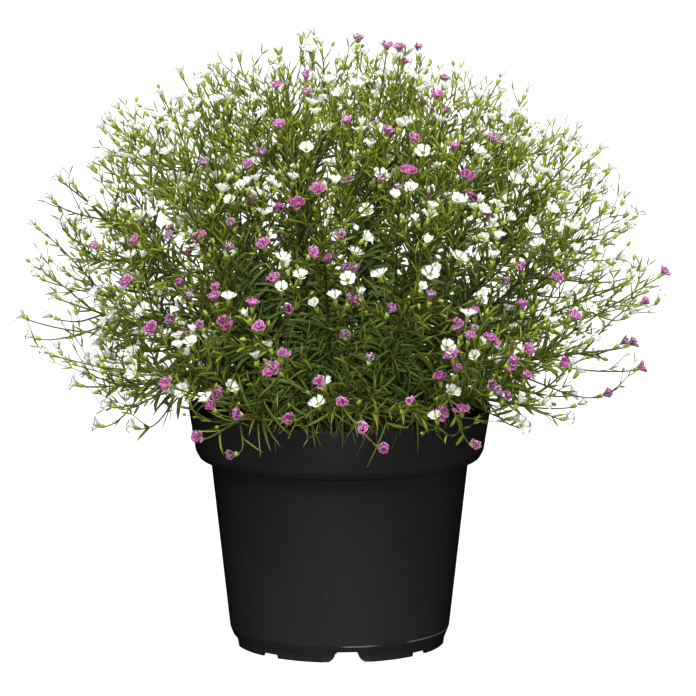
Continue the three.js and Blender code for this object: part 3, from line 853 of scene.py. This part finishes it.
def grow_rim_shoots(plant):
    """Long-leaved shoots round the edge of the soil, thickest in front and behind, that arch over the rim."""
    for k in range(RIM_SHOOTS["count"]):
        turn = 2 * math.pi * (k + astray(RIM_SHOOTS["turn"])) / RIM_SHOOTS["count"]
        if abs(math.cos(turn)) > between(*RIM_SHOOTS["sides"]):
            continue
        bow = [at_turn(turn, between(*RIM_OUT["foot"]), SOIL_TOP)]
        for place in ("crest", "end"):
            bow.append(at_turn(turn, between(*RIM_OUT[place]), POT_HEIGHT + between(*RIM_UP[place])))
        tone = between(*RIM_SHOOTS["tones"])
        length = plant.add_stem(bow, BRANCH_THICK, tone)
        plant.add_pairs(bow, length, PAIR_GAP["branch"], *RIM_SHOOTS["leaves"], tone)


# Small forms that are repeated


def solid_mesh(name, points, faces, values=None):
    """A closed mesh whose faces all look outwards."""
    mesh = bpy.data.meshes.new(name)
    mesh.from_pydata([tuple(point) for point in points], [], faces)
    work = bmesh.new()
    work.from_mesh(mesh)
    bmesh.ops.recalc_face_normals(work, faces=work.faces)
    work.to_mesh(mesh)
    work.free()
    return with_attributes(mesh, {key: np.array(array, float) for key, array in (values or {}).items()})


def petal():
    """One notched petal that rises out of the throat and spreads. Its two faces meet all round the edge."""
    rows, columns = np.linspace(0, 1, PETAL_ROWS + 1), np.linspace(-1, 1, PETAL_COLUMNS + 1)
    points, index, along, across = [], {}, [], []
    for i, u in enumerate(rows):
        for j, v in enumerate(columns):
            edge = i in (0, PETAL_ROWS) or j in (0, PETAL_COLUMNS)
            edge_in = PETAL["notch"] * math.cos(math.pi * v / 2) ** 8 + PETAL["rounding"] * v**4
            reach = mix(PETAL["foot"], BLOOM["radius"], u) * (1 - edge_in * u**3)
            wide = PETAL["width"] * np.interp(u, *PETAL_OUTLINE)
            rise = mix(BLOOM["throat"], BLOOM["length"], 1 - (1 - u) ** PETAL["arch"])
            rise += PETAL["cup"] * u * v * v - PETAL["fold"] * u * math.cos(math.pi * v)
            for sheet, lift in enumerate((0,) if edge else (PETAL["half_thick"], -PETAL["half_thick"])):
                index[i, j, sheet] = len(points)
                points.append((reach, v * wide, rise + lift))
                along.append(u)
                across.append(v)
            if edge:
                index[i, j, 1] = index[i, j, 0]
    faces = []
    for sheet in (0, 1):
        for i in range(PETAL_ROWS):
            for j in range(PETAL_COLUMNS):
                ring = ((i, j), (i + 1, j), (i + 1, j + 1), (i, j + 1))
                faces.append([index[place + (sheet,)] for place in ring])
    return solid_mesh("petal", points, faces, {"along": along, "across": across})


def turned_form(name, rings, sides, bottom, top):
    """A closed form of rings about the upright axis. Each ring gives its radius and height at a side."""
    points = [(0, 0, bottom)]
    along = [0.0]
    for k, ring in enumerate(rings):
        for side in range(sides):
            points.append(at_turn(2 * math.pi * side / sides, *ring(side)))
            along.append((k + 1) / (len(rings) + 1))
    points.append((0, 0, top))
    along.append(1.0)
    last = len(points) - 1
    faces = []
    for side in range(sides):
        after = (side + 1) % sides
        faces.append([0, 1 + after, 1 + side])
        for k in range(len(rings) - 1):
            low, high = 1 + k * sides, 1 + (k + 1) * sides
            faces.append([low + side, low + after, high + after, high + side])
        faces.append([last - sides + side, last - sides + after, last])
    return solid_mesh(name, points, faces, {"along": along})


def calyx():
    """The green bell under a bloom, ribbed and with five teeth."""
    rings = [lambda side, pair=pair: pair[0 if side % 2 else 1] for pair in CALYX_RINGS]
    return turned_form("calyx", rings, 2 * BLOOM["petals"], *CALYX_ENDS)


def bud():
    """A pointed oval bud in its ribbed calyx."""
    rings = [
        lambda side, width=width, share=share:
            (BUD["radius"] * width * (1 if side % 2 else BUD["groove"]), BUD["length"] * share)
        for width, share in BUD_RINGS
    ]
    return turned_form("bud", rings, BUD["sides"], 0, BUD["length"])


def stamens():
    """The stamens that stand in a bloom's throat, each a thread with a small head."""
    points, faces, along = [], [], []
    sides = STAMEN["sides"]
    for k in range(BLOOM["petals"]):
        turn = 2 * math.pi * (k + 0.5) / BLOOM["petals"]
        foot, head = at_turn(turn, *STAMEN["foot"]), at_turn(turn, *STAMEN["head"])
        start = len(points)
        centres = (foot, head, head + (0, 0, STAMEN["lift"]))
        for centre, radius, share in zip(centres, STAMEN["radii"], STAMEN["shares"]):
            points += [centre + at_turn(turn + 2 * math.pi * side / sides, radius) for side in range(sides)]
            along += [share] * sides
        points.append(head + (0, 0, STAMEN["point"]))
        along.append(1)
        high = start + 2 * sides
        faces.append([start + side for side in reversed(range(sides))])
        for side in range(sides):
            after = (side + 1) % sides
            for low in (start, start + sides):
                faces.append([low + side, low + after, low + sides + after, low + sides + side])
            faces.append([high + side, high + after, high + sides])
    return solid_mesh("stamens", points, faces, {"along": along})


def crumb():
    """A rough grain of soil."""
    work = bmesh.new()
    bmesh.ops.create_icosphere(work, subdivisions=1, radius=CRUMB["radius"])
    for vertex in work.verts:
        vertex.co *= between(*CRUMB["sizes"])
        vertex.co.z *= CRUMB["flatness"]
    mesh = bpy.data.meshes.new("crumb")
    work.to_mesh(mesh)
    work.free()
    return mesh


# The pot and the soil


def rounded(corners):
    """An outline with an arc at each corner except the first and the last."""
    corners = [np.array(corner) for corner in corners]
    outline = corners[:1]
    for before, corner, after in zip(corners, corners[1:], corners[2:]):
        back, ahead = before - corner, after - corner
        room = CORNERS["share"] * min(np.linalg.norm(back), np.linalg.norm(ahead))
        cut = min(CORNERS["radius"], room)
        arc = [corner + unit(back) * cut, corner, corner + unit(ahead) * cut]
        outline.extend(bezier(arc, np.linspace(0, 1, CORNERS["steps"] + 1)))
    return outline + corners[-1:]


def lathe(name, outline, sides):
    """A closed body turned about the upright axis, on which its outline starts and ends."""
    rings = [lambda side, point=point: point for point in outline[1:-1]]
    return turned_form(name, rings, sides, outline[0][1], outline[-1][1])


def cut_out(mesh, cutters):
    """The mesh without what lies in any of the cutters. The cutters of one list stay clear of each other."""
    piece = placed("being_cut", mesh)
    tools = []
    for parts in cutters:
        work = bmesh.new()
        for part in parts:
            work.from_mesh(part)
            bpy.data.meshes.remove(part)
        joined = bpy.data.meshes.new("cutter")
        work.to_mesh(joined)
        work.free()
        tools.append(placed("cutter", joined))
        modifier = piece.modifiers.new("cut", "BOOLEAN")
        modifier.operation = "DIFFERENCE"
        modifier.solver = "EXACT"
        modifier.object = tools[-1]
    evaluated = piece.evaluated_get(bpy.context.evaluated_depsgraph_get())
    result = bpy.data.meshes.new_from_object(evaluated)
    for tool in (piece, *tools):
        bpy.data.objects.remove(tool)
    return result


def bar(start, end):
    """A closed bar between two rings of points."""
    count = len(start)
    faces = [list(range(count)), list(range(count, 2 * count))]
    faces += [[k, (k + 1) % count, count + (k + 1) % count, count + k] for k in range(count)]
    return solid_mesh("bar", start + end, faces)


def prism(outline, start, end, turn):
    """A bar that lies from start to end along a level way. Its outline is given across and up."""
    ahead, across = at_turn(turn, 1), np.array((-math.sin(turn), math.cos(turn), 0))
    return bar(*([ahead * out + across * x + (0, 0, z) for x, z in outline] for out in (start, end)))


def drain_drill(turn):
    """What is drilled out for one drain hole."""
    centre = at_turn(turn, DRAIN["ring"])
    turns = np.linspace(0, 2 * math.pi, DRAIN["sides"], endpoint=False)
    heights = (BASE - DRAIN["beyond"], BASE_TOP + DRAIN["beyond"])
    return bar(*([centre + at_turn(a, DRAIN["radius"], height) for a in turns] for height in heights))


def box_outline(width, height):
    return [(-width / 2, -height), (width / 2, -height), (width / 2, height), (-width / 2, height)]


def arch_outline():
    right = [(out, ARCH["height"] * up) for out, up in zip(ARCH["half_widths"], ARCH["heights"])]
    return right + [(-out, up) for out, up in reversed(right)]


def pot_outline():
    """The pot's half section, from the axis under its base round by the rim to the axis inside."""
    near, far = INNER_RING
    outer = [
        (0, BASE), (near, BASE), (near, INNER_RING_FOOT), (far, INNER_RING_FOOT), (far, BASE),
        (FOOT_RADIUS - FOOT_WALL, BASE), (FOOT_RADIUS - FOOT_WALL, 0), (FOOT_RADIUS, 0),
        (FOOT_RADIUS + FOOT_FLARE["out"], FOOT_FLARE["rise"]), (HEEL_RADIUS, HEEL),
        (SHOULDER_RADIUS, SHOULDER), (COLLAR_RADIUS - COLLAR_SOLE["in"], SHOULDER + COLLAR_SOLE["rise"]),
        (COLLAR_RADIUS, COLLAR_FOOT), (RIM_RADIUS, POT_HEIGHT),
    ]
    inner = [
        (RIM_RADIUS - WALL, POT_HEIGHT), (COLLAR_RADIUS - WALL, COLLAR_FOOT + INSIDE_RISE["collar"]),
        (SHOULDER_RADIUS - WALL, SHOULDER + INSIDE_RISE["shoulder"]), (HEEL_RADIUS - WALL, BASE_TOP),
        (0, BASE_TOP),
    ]
    return rounded(outer + inner)


def make_pot():
    shell = lathe("pot", pot_outline(), POT_SIDES)
    quarter = 2 * math.pi / NOTCH["count"]
    front = [k * quarter - math.pi / 2 for k in range(NOTCH["count"])]
    corner = [(k + 0.5) * quarter for k in range(NICK["count"])]
    skirt = box_outline(NOTCH["width"], NOTCH["height"])
    nick = box_outline(NICK["width"], NICK["height"])
    arch = arch_outline()
    inner, outer = FOOT_RADIUS - ARCH["inward"], FOOT_RADIUS + ARCH["outward"]
    beyond = FOOT_RADIUS + CUT_BEYOND
    skirts = [prism(skirt, FOOT_RADIUS - NOTCH["depth"], beyond, turn) for turn in front]
    nicks = [prism(nick, FOOT_RADIUS - CUT_BEYOND, beyond, turn) for turn in corner]
    arches = [prism(arch, inner, outer, turn) for turn in front]
    drains = [drain_drill(turn) for turn in corner]
    mesh = cut_out(shell, [skirts + nicks, arches + drains])
    mesh.set_sharp_from_angle(angle=POT_CREASE)
    return finished_mesh("pot_shell", mesh, black_plastic())


def finished_mesh(name, mesh, material):
    mesh.name = name
    mesh.materials.clear()
    mesh.materials.append(material)
    mesh.polygons.foreach_set("use_smooth", np.ones(len(mesh.polygons), bool))
    return placed(name, mesh)


def make_soil():
    """The soil as one lumpy body, and the crumbs that lie on it."""
    inside = COLLAR_RADIUS - WALL - SOIL_SEAT
    edge = SOIL_TOP - SOIL_EDGE["below"]
    corners = [
        (0, BASE_TOP + SOIL_SEAT), (HEEL_RADIUS - WALL - SOIL_GAP, BASE_TOP + SOIL_SEAT),
        (SHOULDER_RADIUS - WALL - SOIL_GAP, SHOULDER + SOIL_RISE["shoulder"]),
        (inside - SOIL_EDGE["foot"], COLLAR_FOOT + SOIL_RISE["collar"]), (inside + SOIL_EDGE["out"], edge),
    ]
    top = [(inside * share, edge) for share in np.linspace(SOIL_EDGE["share"], 0, SOIL_RINGS)]
    mesh = lathe("soil", corners + top, SOIL_SIDES)
    for vertex in mesh.vertices:
        place = vertex.co
        if place.z > edge - HAIR and place.xy.length < inside:
            lump = sum(noise.noise(place * scale) * height for scale, height in LUMPS)
            place.z += lump + SOIL_CROWN * (1 - (place.xy.length / inside) ** 4)
    earth = potting_soil()
    soil = finished_mesh("soil_fill", mesh, earth)
    return soil, strewn_crumbs(soil, inside - STREWN["inside"], edge - STREWN["below"], earth)


def strewn_crumbs(soil, widest, lowest, earth):
    """Crumbs on the soil's open top."""
    top = soil.data.copy()
    work = bmesh.new()
    work.from_mesh(top)
    middles = {face: face.calc_center_median() for face in work.faces}
    rest = [face for face, middle in middles.items() if middle.z < lowest or middle.xy.length > widest]
    bmesh.ops.delete(work, geom=rest, context="FACES")
    work.to_mesh(top)
    work.free()
    form = placed("crumb", crumb())
    values = {"Form": form, **CRUMBS, "Seed": SEED, "Material": earth}
    crumbs = shaped("soil_crumbs", top, crumb_tree(), values)
    bpy.data.objects.remove(form)
    return crumbs


# The plant's pieces


def make_stems(plant):
    tree = sweep_tree("swept stems", False)
    green = stem_green()
    lines = {"stems": (plant.stems, STEM_SIDES), "twigs": (plant.twigs, TWIG_SIDES)}
    return [shaped(name, strands.mesh(name + "_lines"), tree, {"Sides": sides, "Material": green})
            for name, (strands, sides) in lines.items()]


def make_leaves(plant):
    tree = sweep_tree("swept leaves", True)
    values = {"Thickness": LEAF_THICKNESS, "Groove": LEAF_GROOVE, "Material": leaf_green()}
    made = []
    for layer, strands in plant.leaves.items():
        values["Sides"] = LEAF_LAYERS[layer]["sides"]
        made.append(shaped(layer, strands.mesh(layer + "_lines"), tree, values))
    return made


def make_blooms(plant):
    """Petals, calyces, stamens and buds, each set on the points that the plant gives."""
    marks = {key: Marks() for key in ("white_petals", "pink_petals", "calyces", "stamens", "buds")}
    for at, facing, side, pink, tone in plant.blooms:
        add_bloom(marks, at, unit(facing + np.array((0, 0, BLOOM_LIFT))), side, pink, tone)
    for at, facing, pink, tone, size in plant.buds:
        side = around(facing, between(*BUD_VARY["roll"]))
        marks["buds"].add(at, facing, side, (size, size, size), tone=tone, blush=float(pink))
    tree = scatter_tree("set forms")
    forms = {"white_petals": (petal, white_petal), "pink_petals": (petal, pink_petal),
             "calyces": (calyx, calyx_green), "stamens": (stamens, stamen_yellow), "buds": (bud, bud_green)}
    made = {}
    for key, (form, material) in forms.items():
        copy = placed(key + "_form", form())
        values = {"Form": copy, "Material": material()}
        made[key] = shaped(key, marks[key].mesh(key + "_points"), tree, values)
        bpy.data.objects.remove(copy)
    return made


def add_bloom(marks, at, facing, side, pink, tone):
    """A bloom's petals open wide or less wide. A pink one has two ragged whorls, and may have faded."""
    side = unit(side - facing * np.dot(side, facing))
    other = np.cross(facing, side)
    openness = min(OPEN["most"], between(*OPEN["range"]))
    fade = between(0, 1)
    petals = marks["pink_petals" if pink else "white_petals"]
    ragged = RAGGED["pink"] if pink else 1
    if pink and fade > FADED:
        openness *= OPEN["faded"]
    for reach, shift in PINK_WHORLS if pink else WHITE_WHORLS:
        for k in range(BLOOM["petals"]):
            turn = 2 * math.pi * (k + shift) / BLOOM["petals"] + astray(RAGGED["turn"]) * ragged
            way = side * math.cos(turn) + other * math.sin(turn)
            long = reach * openness * (1 - ragged * between(0, RAGGED["length"]))
            wide = reach * mix(OPEN["narrow"], 1, openness)
            stand = STAND["least"] + STAND["closed"] * (STAND["open"] - openness)
            stand = (stand + STAND["inner"] * (1 - reach)) * between(*STAND["vary"])
            axis = unit(facing + way * astray(RAGGED["lean"]) * ragged)
            petals.add(at, axis, way, (long, wide, stand), tone=fade)
    marks["calyces"].add(at, facing, side, (1, 1, 1), tone=tone, blush=float(pink))
    if openness > OPEN["stamens"]:
        marks["stamens"].add(at, facing, side, (1, 1, 1), tone=tone, blush=float(pink))


# Materials


class Finish(Tree):
    """A material whose surface is one Principled shader."""

    def __init__(self, name):
        self.material = bpy.data.materials.new(name)
        self.material.use_nodes = True
        super().__init__(self.material.node_tree)
        self.shader = self.tree.nodes["Principled BSDF"]

    def place(self):
        return self.add("ShaderNodeTexCoord", output="Object")

    def attribute(self, name):
        return self.add("ShaderNodeAttribute", {"attribute_name": name}, output="Fac")

    def noise(self, scale, detail=2.0, place=None):
        sockets = {"Vector": place or self.place(), "Scale": scale, "Detail": detail}
        return self.add("ShaderNodeTexNoise", None, sockets, "Fac")

    def blend(self, share, first, second):
        return self.add("ShaderNodeMix", {"data_type": "RGBA"}, {"Factor": share, "A": first, "B": second})

    def bump(self, height, depth, strength=1.0):
        return self.add("ShaderNodeBump", None, {"Height": height, "Distance": depth, "Strength": strength})

    def surface(self, sockets):
        for name, value in sockets.items():
            if isinstance(value, Value):
                self.tree.links.new(value.socket, self.shader.inputs[name])
            else:
                self.shader.inputs[name].default_value = value
        return self.material


def colour(red, green, blue):
    """A colour given as it looks on a screen, from 0 to 255, as the shader wants it."""
    def linear(level):
        share = level / 255
        return share / 12.92 if share <= 0.04045 else ((share + 0.055) / 1.055) ** 2.4
    return (linear(red), linear(green), linear(blue), 1.0)


def black_plastic():
    """Moulded plastic with upright flow lines, a fine grain, a few dull specks and a painted highlight along
    the heel's edge.
    """
    finish = Finish("black_plastic")
    place = finish.place()
    streaks = finish.add("ShaderNodeMapping", None, {"Vector": place, "Scale": (160.0, 160.0, 9.0)})
    flow = finish.noise(1.0, 3.0, streaks)
    cloud = finish.noise(28.0, 3.0)
    grain = finish.noise(2600.0, 2.0)
    specks = finish.noise(900.0, 1.0).ramp(0.73, 0.8)
    up = finish.add("ShaderNodeSeparateXYZ", None, {"Vector": place}, output="Z")
    # Painted highlight: a thin pale line round the heel's edge, broken into arcs by noise, stands in for the
    # glint the light puts there.
    heel_glint_band = up.ramp(HEEL - HEEL_GLINT_HALF_WIDTH, HEEL) * (1 - up.ramp(HEEL, HEEL + HEEL_GLINT_HALF_WIDTH))
    painted_heel_glint = heel_glint_band * finish.noise(34.0, 1.0).ramp(0.5, 0.6)
    base = finish.blend(cloud * 0.5 + flow * 0.5, colour(27, 27, 27), colour(35, 35, 35))
    base = finish.blend(specks * 0.35, base, colour(82, 80, 74))
    base = finish.blend(painted_heel_glint * 0.8, base, colour(128, 128, 124))
    return finish.surface({
        "Base Color": base,
        "Roughness": 0.38 + cloud * 0.08 + specks * 0.2,
        "Specular IOR Level": 0.2,
        "Normal": finish.bump(grain * 0.6 + flow * 1.2, 0.03 * MM, 0.5),
    })


def potting_soil():
    """Dark crumbly soil with paler fibres in it."""
    finish = Finish("potting_soil")
    coarse, fine = finish.noise(240.0, 4.0), finish.noise(1500.0, 3.0)
    base = finish.blend(coarse.ramp(0.3, 0.7), colour(35, 25, 18), colour(75, 57, 42))
    base = finish.blend(fine.ramp(0.62, 0.75) * 0.6, base, colour(116, 96, 74))
    return finish.surface({
        "Base Color": base,
        "Roughness": 0.86 + fine * 0.1,
        "Specular IOR Level": 0.2,
        "Normal": finish.bump(fine * 0.5 + coarse, 0.5 * MM, 0.7),
    })


def leaf_green():
    """Bright green near the plant's surface and darker deep inside it, partly for older leaves and partly as
    painted shade, with a pale rib, veins and a dry tip.
    """
    finish = Finish("leaf_green")
    age, tone = finish.attribute("age"), finish.attribute("tone")
    along, across = finish.attribute("along"), abs(finish.attribute("across"))
    young = finish.blend(tone, colour(112, 126, 14), colour(146, 155, 36))
    # The darker green of leaves deep inside the plant: partly older leaves, partly painted shade
    old_and_shaded = finish.blend(tone, colour(41, 59, 16), colour(72, 92, 34))
    base = finish.blend(age.ramp(0.0, 0.9), young, old_and_shaded)
    patches = finish.noise(130.0, 2.0)
    base = finish.blend(patches * 0.25, base, colour(88, 101, 20))
    rib = 1 - across.ramp(0.06, 0.3)
    base = finish.blend(rib * 0.35, base, colour(142, 155, 76))
    veins = finish.add("ShaderNodeMath", {"operation": "SINE"}, {0: across * LEAF_VEINS})
    base = finish.blend(veins.ramp(0.3, 1.0) * 0.12, base, colour(63, 79, 20))
    base = finish.blend(along.ramp(0.8, 1.0) * 0.3, base, colour(158, 155, 67))
    return finish.surface({
        "Base Color": base,
        "Roughness": 0.46 + patches * 0.14,
        "Specular IOR Level": 0.28,
        "Normal": finish.bump(veins * 0.3 - rib, 0.08 * MM, 0.5),
    })


def stem_green():
    """Like the leaves but darker, with brown blotches. Darker deep inside the plant too, partly for older
    stems and partly as painted shade.
    """
    finish = Finish("stem_green")
    age, tone = finish.attribute("age"), finish.attribute("tone")
    young = finish.blend(tone, colour(62, 74, 14), colour(90, 98, 25))
    # The darker colour of stems deep inside the plant: partly older stems, partly painted shade
    old_and_shaded = finish.blend(tone, colour(41, 47, 13), colour(63, 58, 22))
    blotch = finish.noise(210.0, 2.0)
    base = finish.blend(age.ramp(0.05, 0.8), young, old_and_shaded)
    base = finish.blend(blotch.ramp(0.5, 0.72) * 0.45, base, colour(79, 59, 36))
    return finish.surface({
        "Base Color": base,
        "Roughness": 0.48 + blotch * 0.16,
        "Specular IOR Level": 0.28,
        "Normal": finish.bump(finish.noise(1900.0, 1.0), 0.05 * MM, 0.4),
    })


def calyx_green():
    """Paler towards the teeth, with darker ribs."""
    finish = Finish("calyx_green")
    tone, along = finish.attribute("tone"), finish.attribute("along")
    base = finish.blend(tone, colour(112, 133, 23), colour(140, 153, 41))
    base = finish.blend(along.ramp(0.1, 0.8) * 0.5, base, colour(160, 171, 76))
    ribs = finish.noise(1300.0, 1.0)
    return finish.surface({
        "Base Color": finish.blend(ribs.ramp(0.5, 0.65) * 0.3, base, colour(83, 110, 38)),
        "Roughness": 0.5 + ribs * 0.1,
        "Specular IOR Level": 0.35,
        "Normal": finish.bump(ribs, 0.06 * MM, 0.4),
    })


def bud_green():
    """Green at the foot, with the rolled petals showing at the point."""
    finish = Finish("bud_green")
    tone, along, blush = finish.attribute("tone"), finish.attribute("along"), finish.attribute("blush")
    base = finish.blend(tone, colour(110, 131, 22), colour(142, 155, 43))
    petals = finish.blend(blush, colour(185, 193, 144), colour(144, 76, 108))
    base = finish.blend((along - tone * 0.3).ramp(0.6, 0.85) * 0.8, base, petals)
    ribs = finish.noise(1100.0, 1.0)
    return finish.surface({
        "Base Color": finish.blend(ribs.ramp(0.52, 0.66) * 0.3, base, colour(86, 113, 36)),
        "Roughness": 0.46 + ribs * 0.12,
        "Specular IOR Level": 0.4,
        "Normal": finish.bump(ribs, 0.06 * MM, 0.4),
    })


def petal_veins(finish):
    """Lines that fan out from the foot of a petal to its edge."""
    across, along = finish.attribute("across"), finish.attribute("along")
    wave = finish.add("ShaderNodeMath", {"operation": "COSINE"}, {0: across * PETAL_VEINS})
    return wave.ramp(0.45, 1.0) * (1 - along.ramp(0.55, 1.0))


def petal_surface(finish, base, tone, veins):
    """The soft, slightly translucent surface that both kinds of petal share."""
    return finish.surface({
        "Base Color": base,
        "Roughness": 0.55 + tone * 0.1,
        "Specular IOR Level": 0.3,
        **TRANSLUCENT,
        "Normal": finish.bump(veins, 0.05 * MM, 0.5),
    })


def white_petal():
    """White with a yellow-green throat and faint veins."""
    finish = Finish("white_petal")
    along, tone = finish.attribute("along"), finish.attribute("tone")
    veins = petal_veins(finish)
    base = finish.blend(tone, colour(234, 236, 221), colour(217, 221, 201))
    base = finish.blend((1 - along.ramp(0.05, 0.55)) * 0.75, base, colour(214, 224, 140))
    base = finish.blend(veins * 0.25, base, colour(190, 198, 170))
    return petal_surface(finish, base, tone, veins)


def pink_petal():
    """Magenta with darker veins and a paler foot and edge. The oldest have faded."""
    finish = Finish("pink_petal")
    along, tone = finish.attribute("along"), finish.attribute("tone")
    veins = petal_veins(finish)
    fresh = finish.blend(tone, colour(132, 24, 104), colour(186, 96, 164))
    base = finish.blend(tone.ramp(FADED - 0.02, FADED + 0.06), fresh, colour(116, 75, 98))
    base = finish.blend((1 - along.ramp(0.1, 0.5)) * 0.55, base, colour(202, 160, 173))
    base = finish.blend(along.ramp(0.8, 1.0) * 0.4, base, colour(202, 142, 187))
    base = finish.blend(veins * 0.6, base, colour(115, 27, 87))
    return petal_surface(finish, base, tone, veins)


def stamen_yellow():
    """Green threads with cream heads, yellower in a pink bloom."""
    finish = Finish("stamen_yellow")
    along, blush = finish.attribute("along"), finish.attribute("blush")
    heads = finish.blend(blush, colour(244, 238, 190), colour(238, 214, 120))
    base = finish.blend(along.ramp(0.55, 0.75), colour(214, 224, 150), heads)
    return finish.surface({
        "Base Color": base,
        "Roughness": 0.6 + along * 0.15,
        "Specular IOR Level": 0.3,
    })


def pale_floor():
    """A pale floor that looks as bright as the paper behind it, though it throws less light back."""
    finish = Finish("pale_floor")
    seen = finish.add("ShaderNodeLightPath", output="Is Camera Ray")
    return finish.surface({
        "Base Color": FLOOR["shade"],
        "Roughness": 0.7,
        "Specular IOR Level": 0.2,
        "Emission Color": seen,
        "Emission Strength": 1.0,
    })


# The studio


def direction(azimuth, rise):
    """The way from the plant to what stands at this azimuth and this height above the ground."""
    turn, up = math.radians(azimuth), math.radians(rise)
    return Vector((math.sin(turn) * math.cos(up), -math.cos(turn) * math.cos(up), math.sin(up)))


def aimed(name, data, back):
    """A camera or a light that stands this far from the middle of the view and looks at it."""
    thing = placed(name, data)
    thing.location = VIEW_CENTRE + back
    thing.rotation_mode = "QUATERNION"
    thing.rotation_quaternion = (-back).to_track_quat("-Z", "Y")
    return thing


def add_camera():
    data = bpy.data.cameras.new("camera")
    data.sensor_width = SENSOR
    data.lens = SENSOR * VIEW_DISTANCE / VIEW_WIDTH
    bpy.context.scene.camera = aimed("camera", data, direction(**VIEW) * VIEW_DISTANCE)


def add_lamp(name, place, size, power):
    data = bpy.data.lights.new(name, "AREA")
    data.shape = "RECTANGLE"
    data.size, data.size_y = size
    data.energy = power
    aimed(name, data, place - VIEW_CENTRE)


def add_sun(name, azimuth, rise, strength, softness, glints):
    """A wide even light, which shows as a glint on the plastic or doesn't."""
    data = bpy.data.lights.new(name, "SUN")
    data.energy = strength
    data.angle = math.radians(softness)
    aimed(name, data, direction(azimuth, rise)).visible_glossy = glints


def add_studio():
    sides = FLOOR["sides"]
    ring = [at_turn(2 * math.pi * k / sides, FLOOR["radius"]) for k in range(sides)]
    floor = bpy.data.meshes.new("floor")
    floor.from_pydata(ring, [], [list(range(sides))])
    floor.materials.append(pale_floor())
    ground = placed("floor", floor)
    ground.visible_glossy = False
    for name, light in SUNS.items():
        add_sun(name, **light)
    add_lamp("front", **FRONT_LAMP)
    world = bpy.data.worlds.new("studio")
    world.use_nodes = True
    studio = Tree(world.node_tree)
    seen = studio.add("ShaderNodeLightPath", output="Is Camera Ray")
    sky = world.node_tree.nodes["Background"]
    sky.inputs["Color"].default_value = (1, 1, 1, 1)
    world.node_tree.links.new((AMBIENT + seen * (1 - AMBIENT)).socket, sky.inputs["Strength"])
    bpy.context.scene.world = world
    world.cycles_visibility.glossy = False
    bpy.context.scene.view_settings.view_transform = "Standard"


# Assembly

pot = make_pot()
soil, crumbs = make_soil()
plant = grow_plant()
stems, twigs = make_stems(plant)
leaves = make_leaves(plant)
blooms = make_blooms(plant)
add_studio()
add_camera()

stem_nodes = [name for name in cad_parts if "stem" in name]
slots = [(pot, "pot_plastic"), (soil, "potting_soil"), (crumbs, "potting_soil"), (stems, "foliage")]
slots += [(piece, "foliage") for piece in (twigs, *leaves, blooms["calyces"], blooms["buds"])]
slots += [(blooms["white_petals"], "white_petal"), (blooms["pink_petals"], "pink_petal")]
slots += [(blooms["stamens"], "flower_eye")]
for piece, slot in slots:
    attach(piece, "root")
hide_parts("pot")
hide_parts("soil")
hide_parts(*stem_nodes)
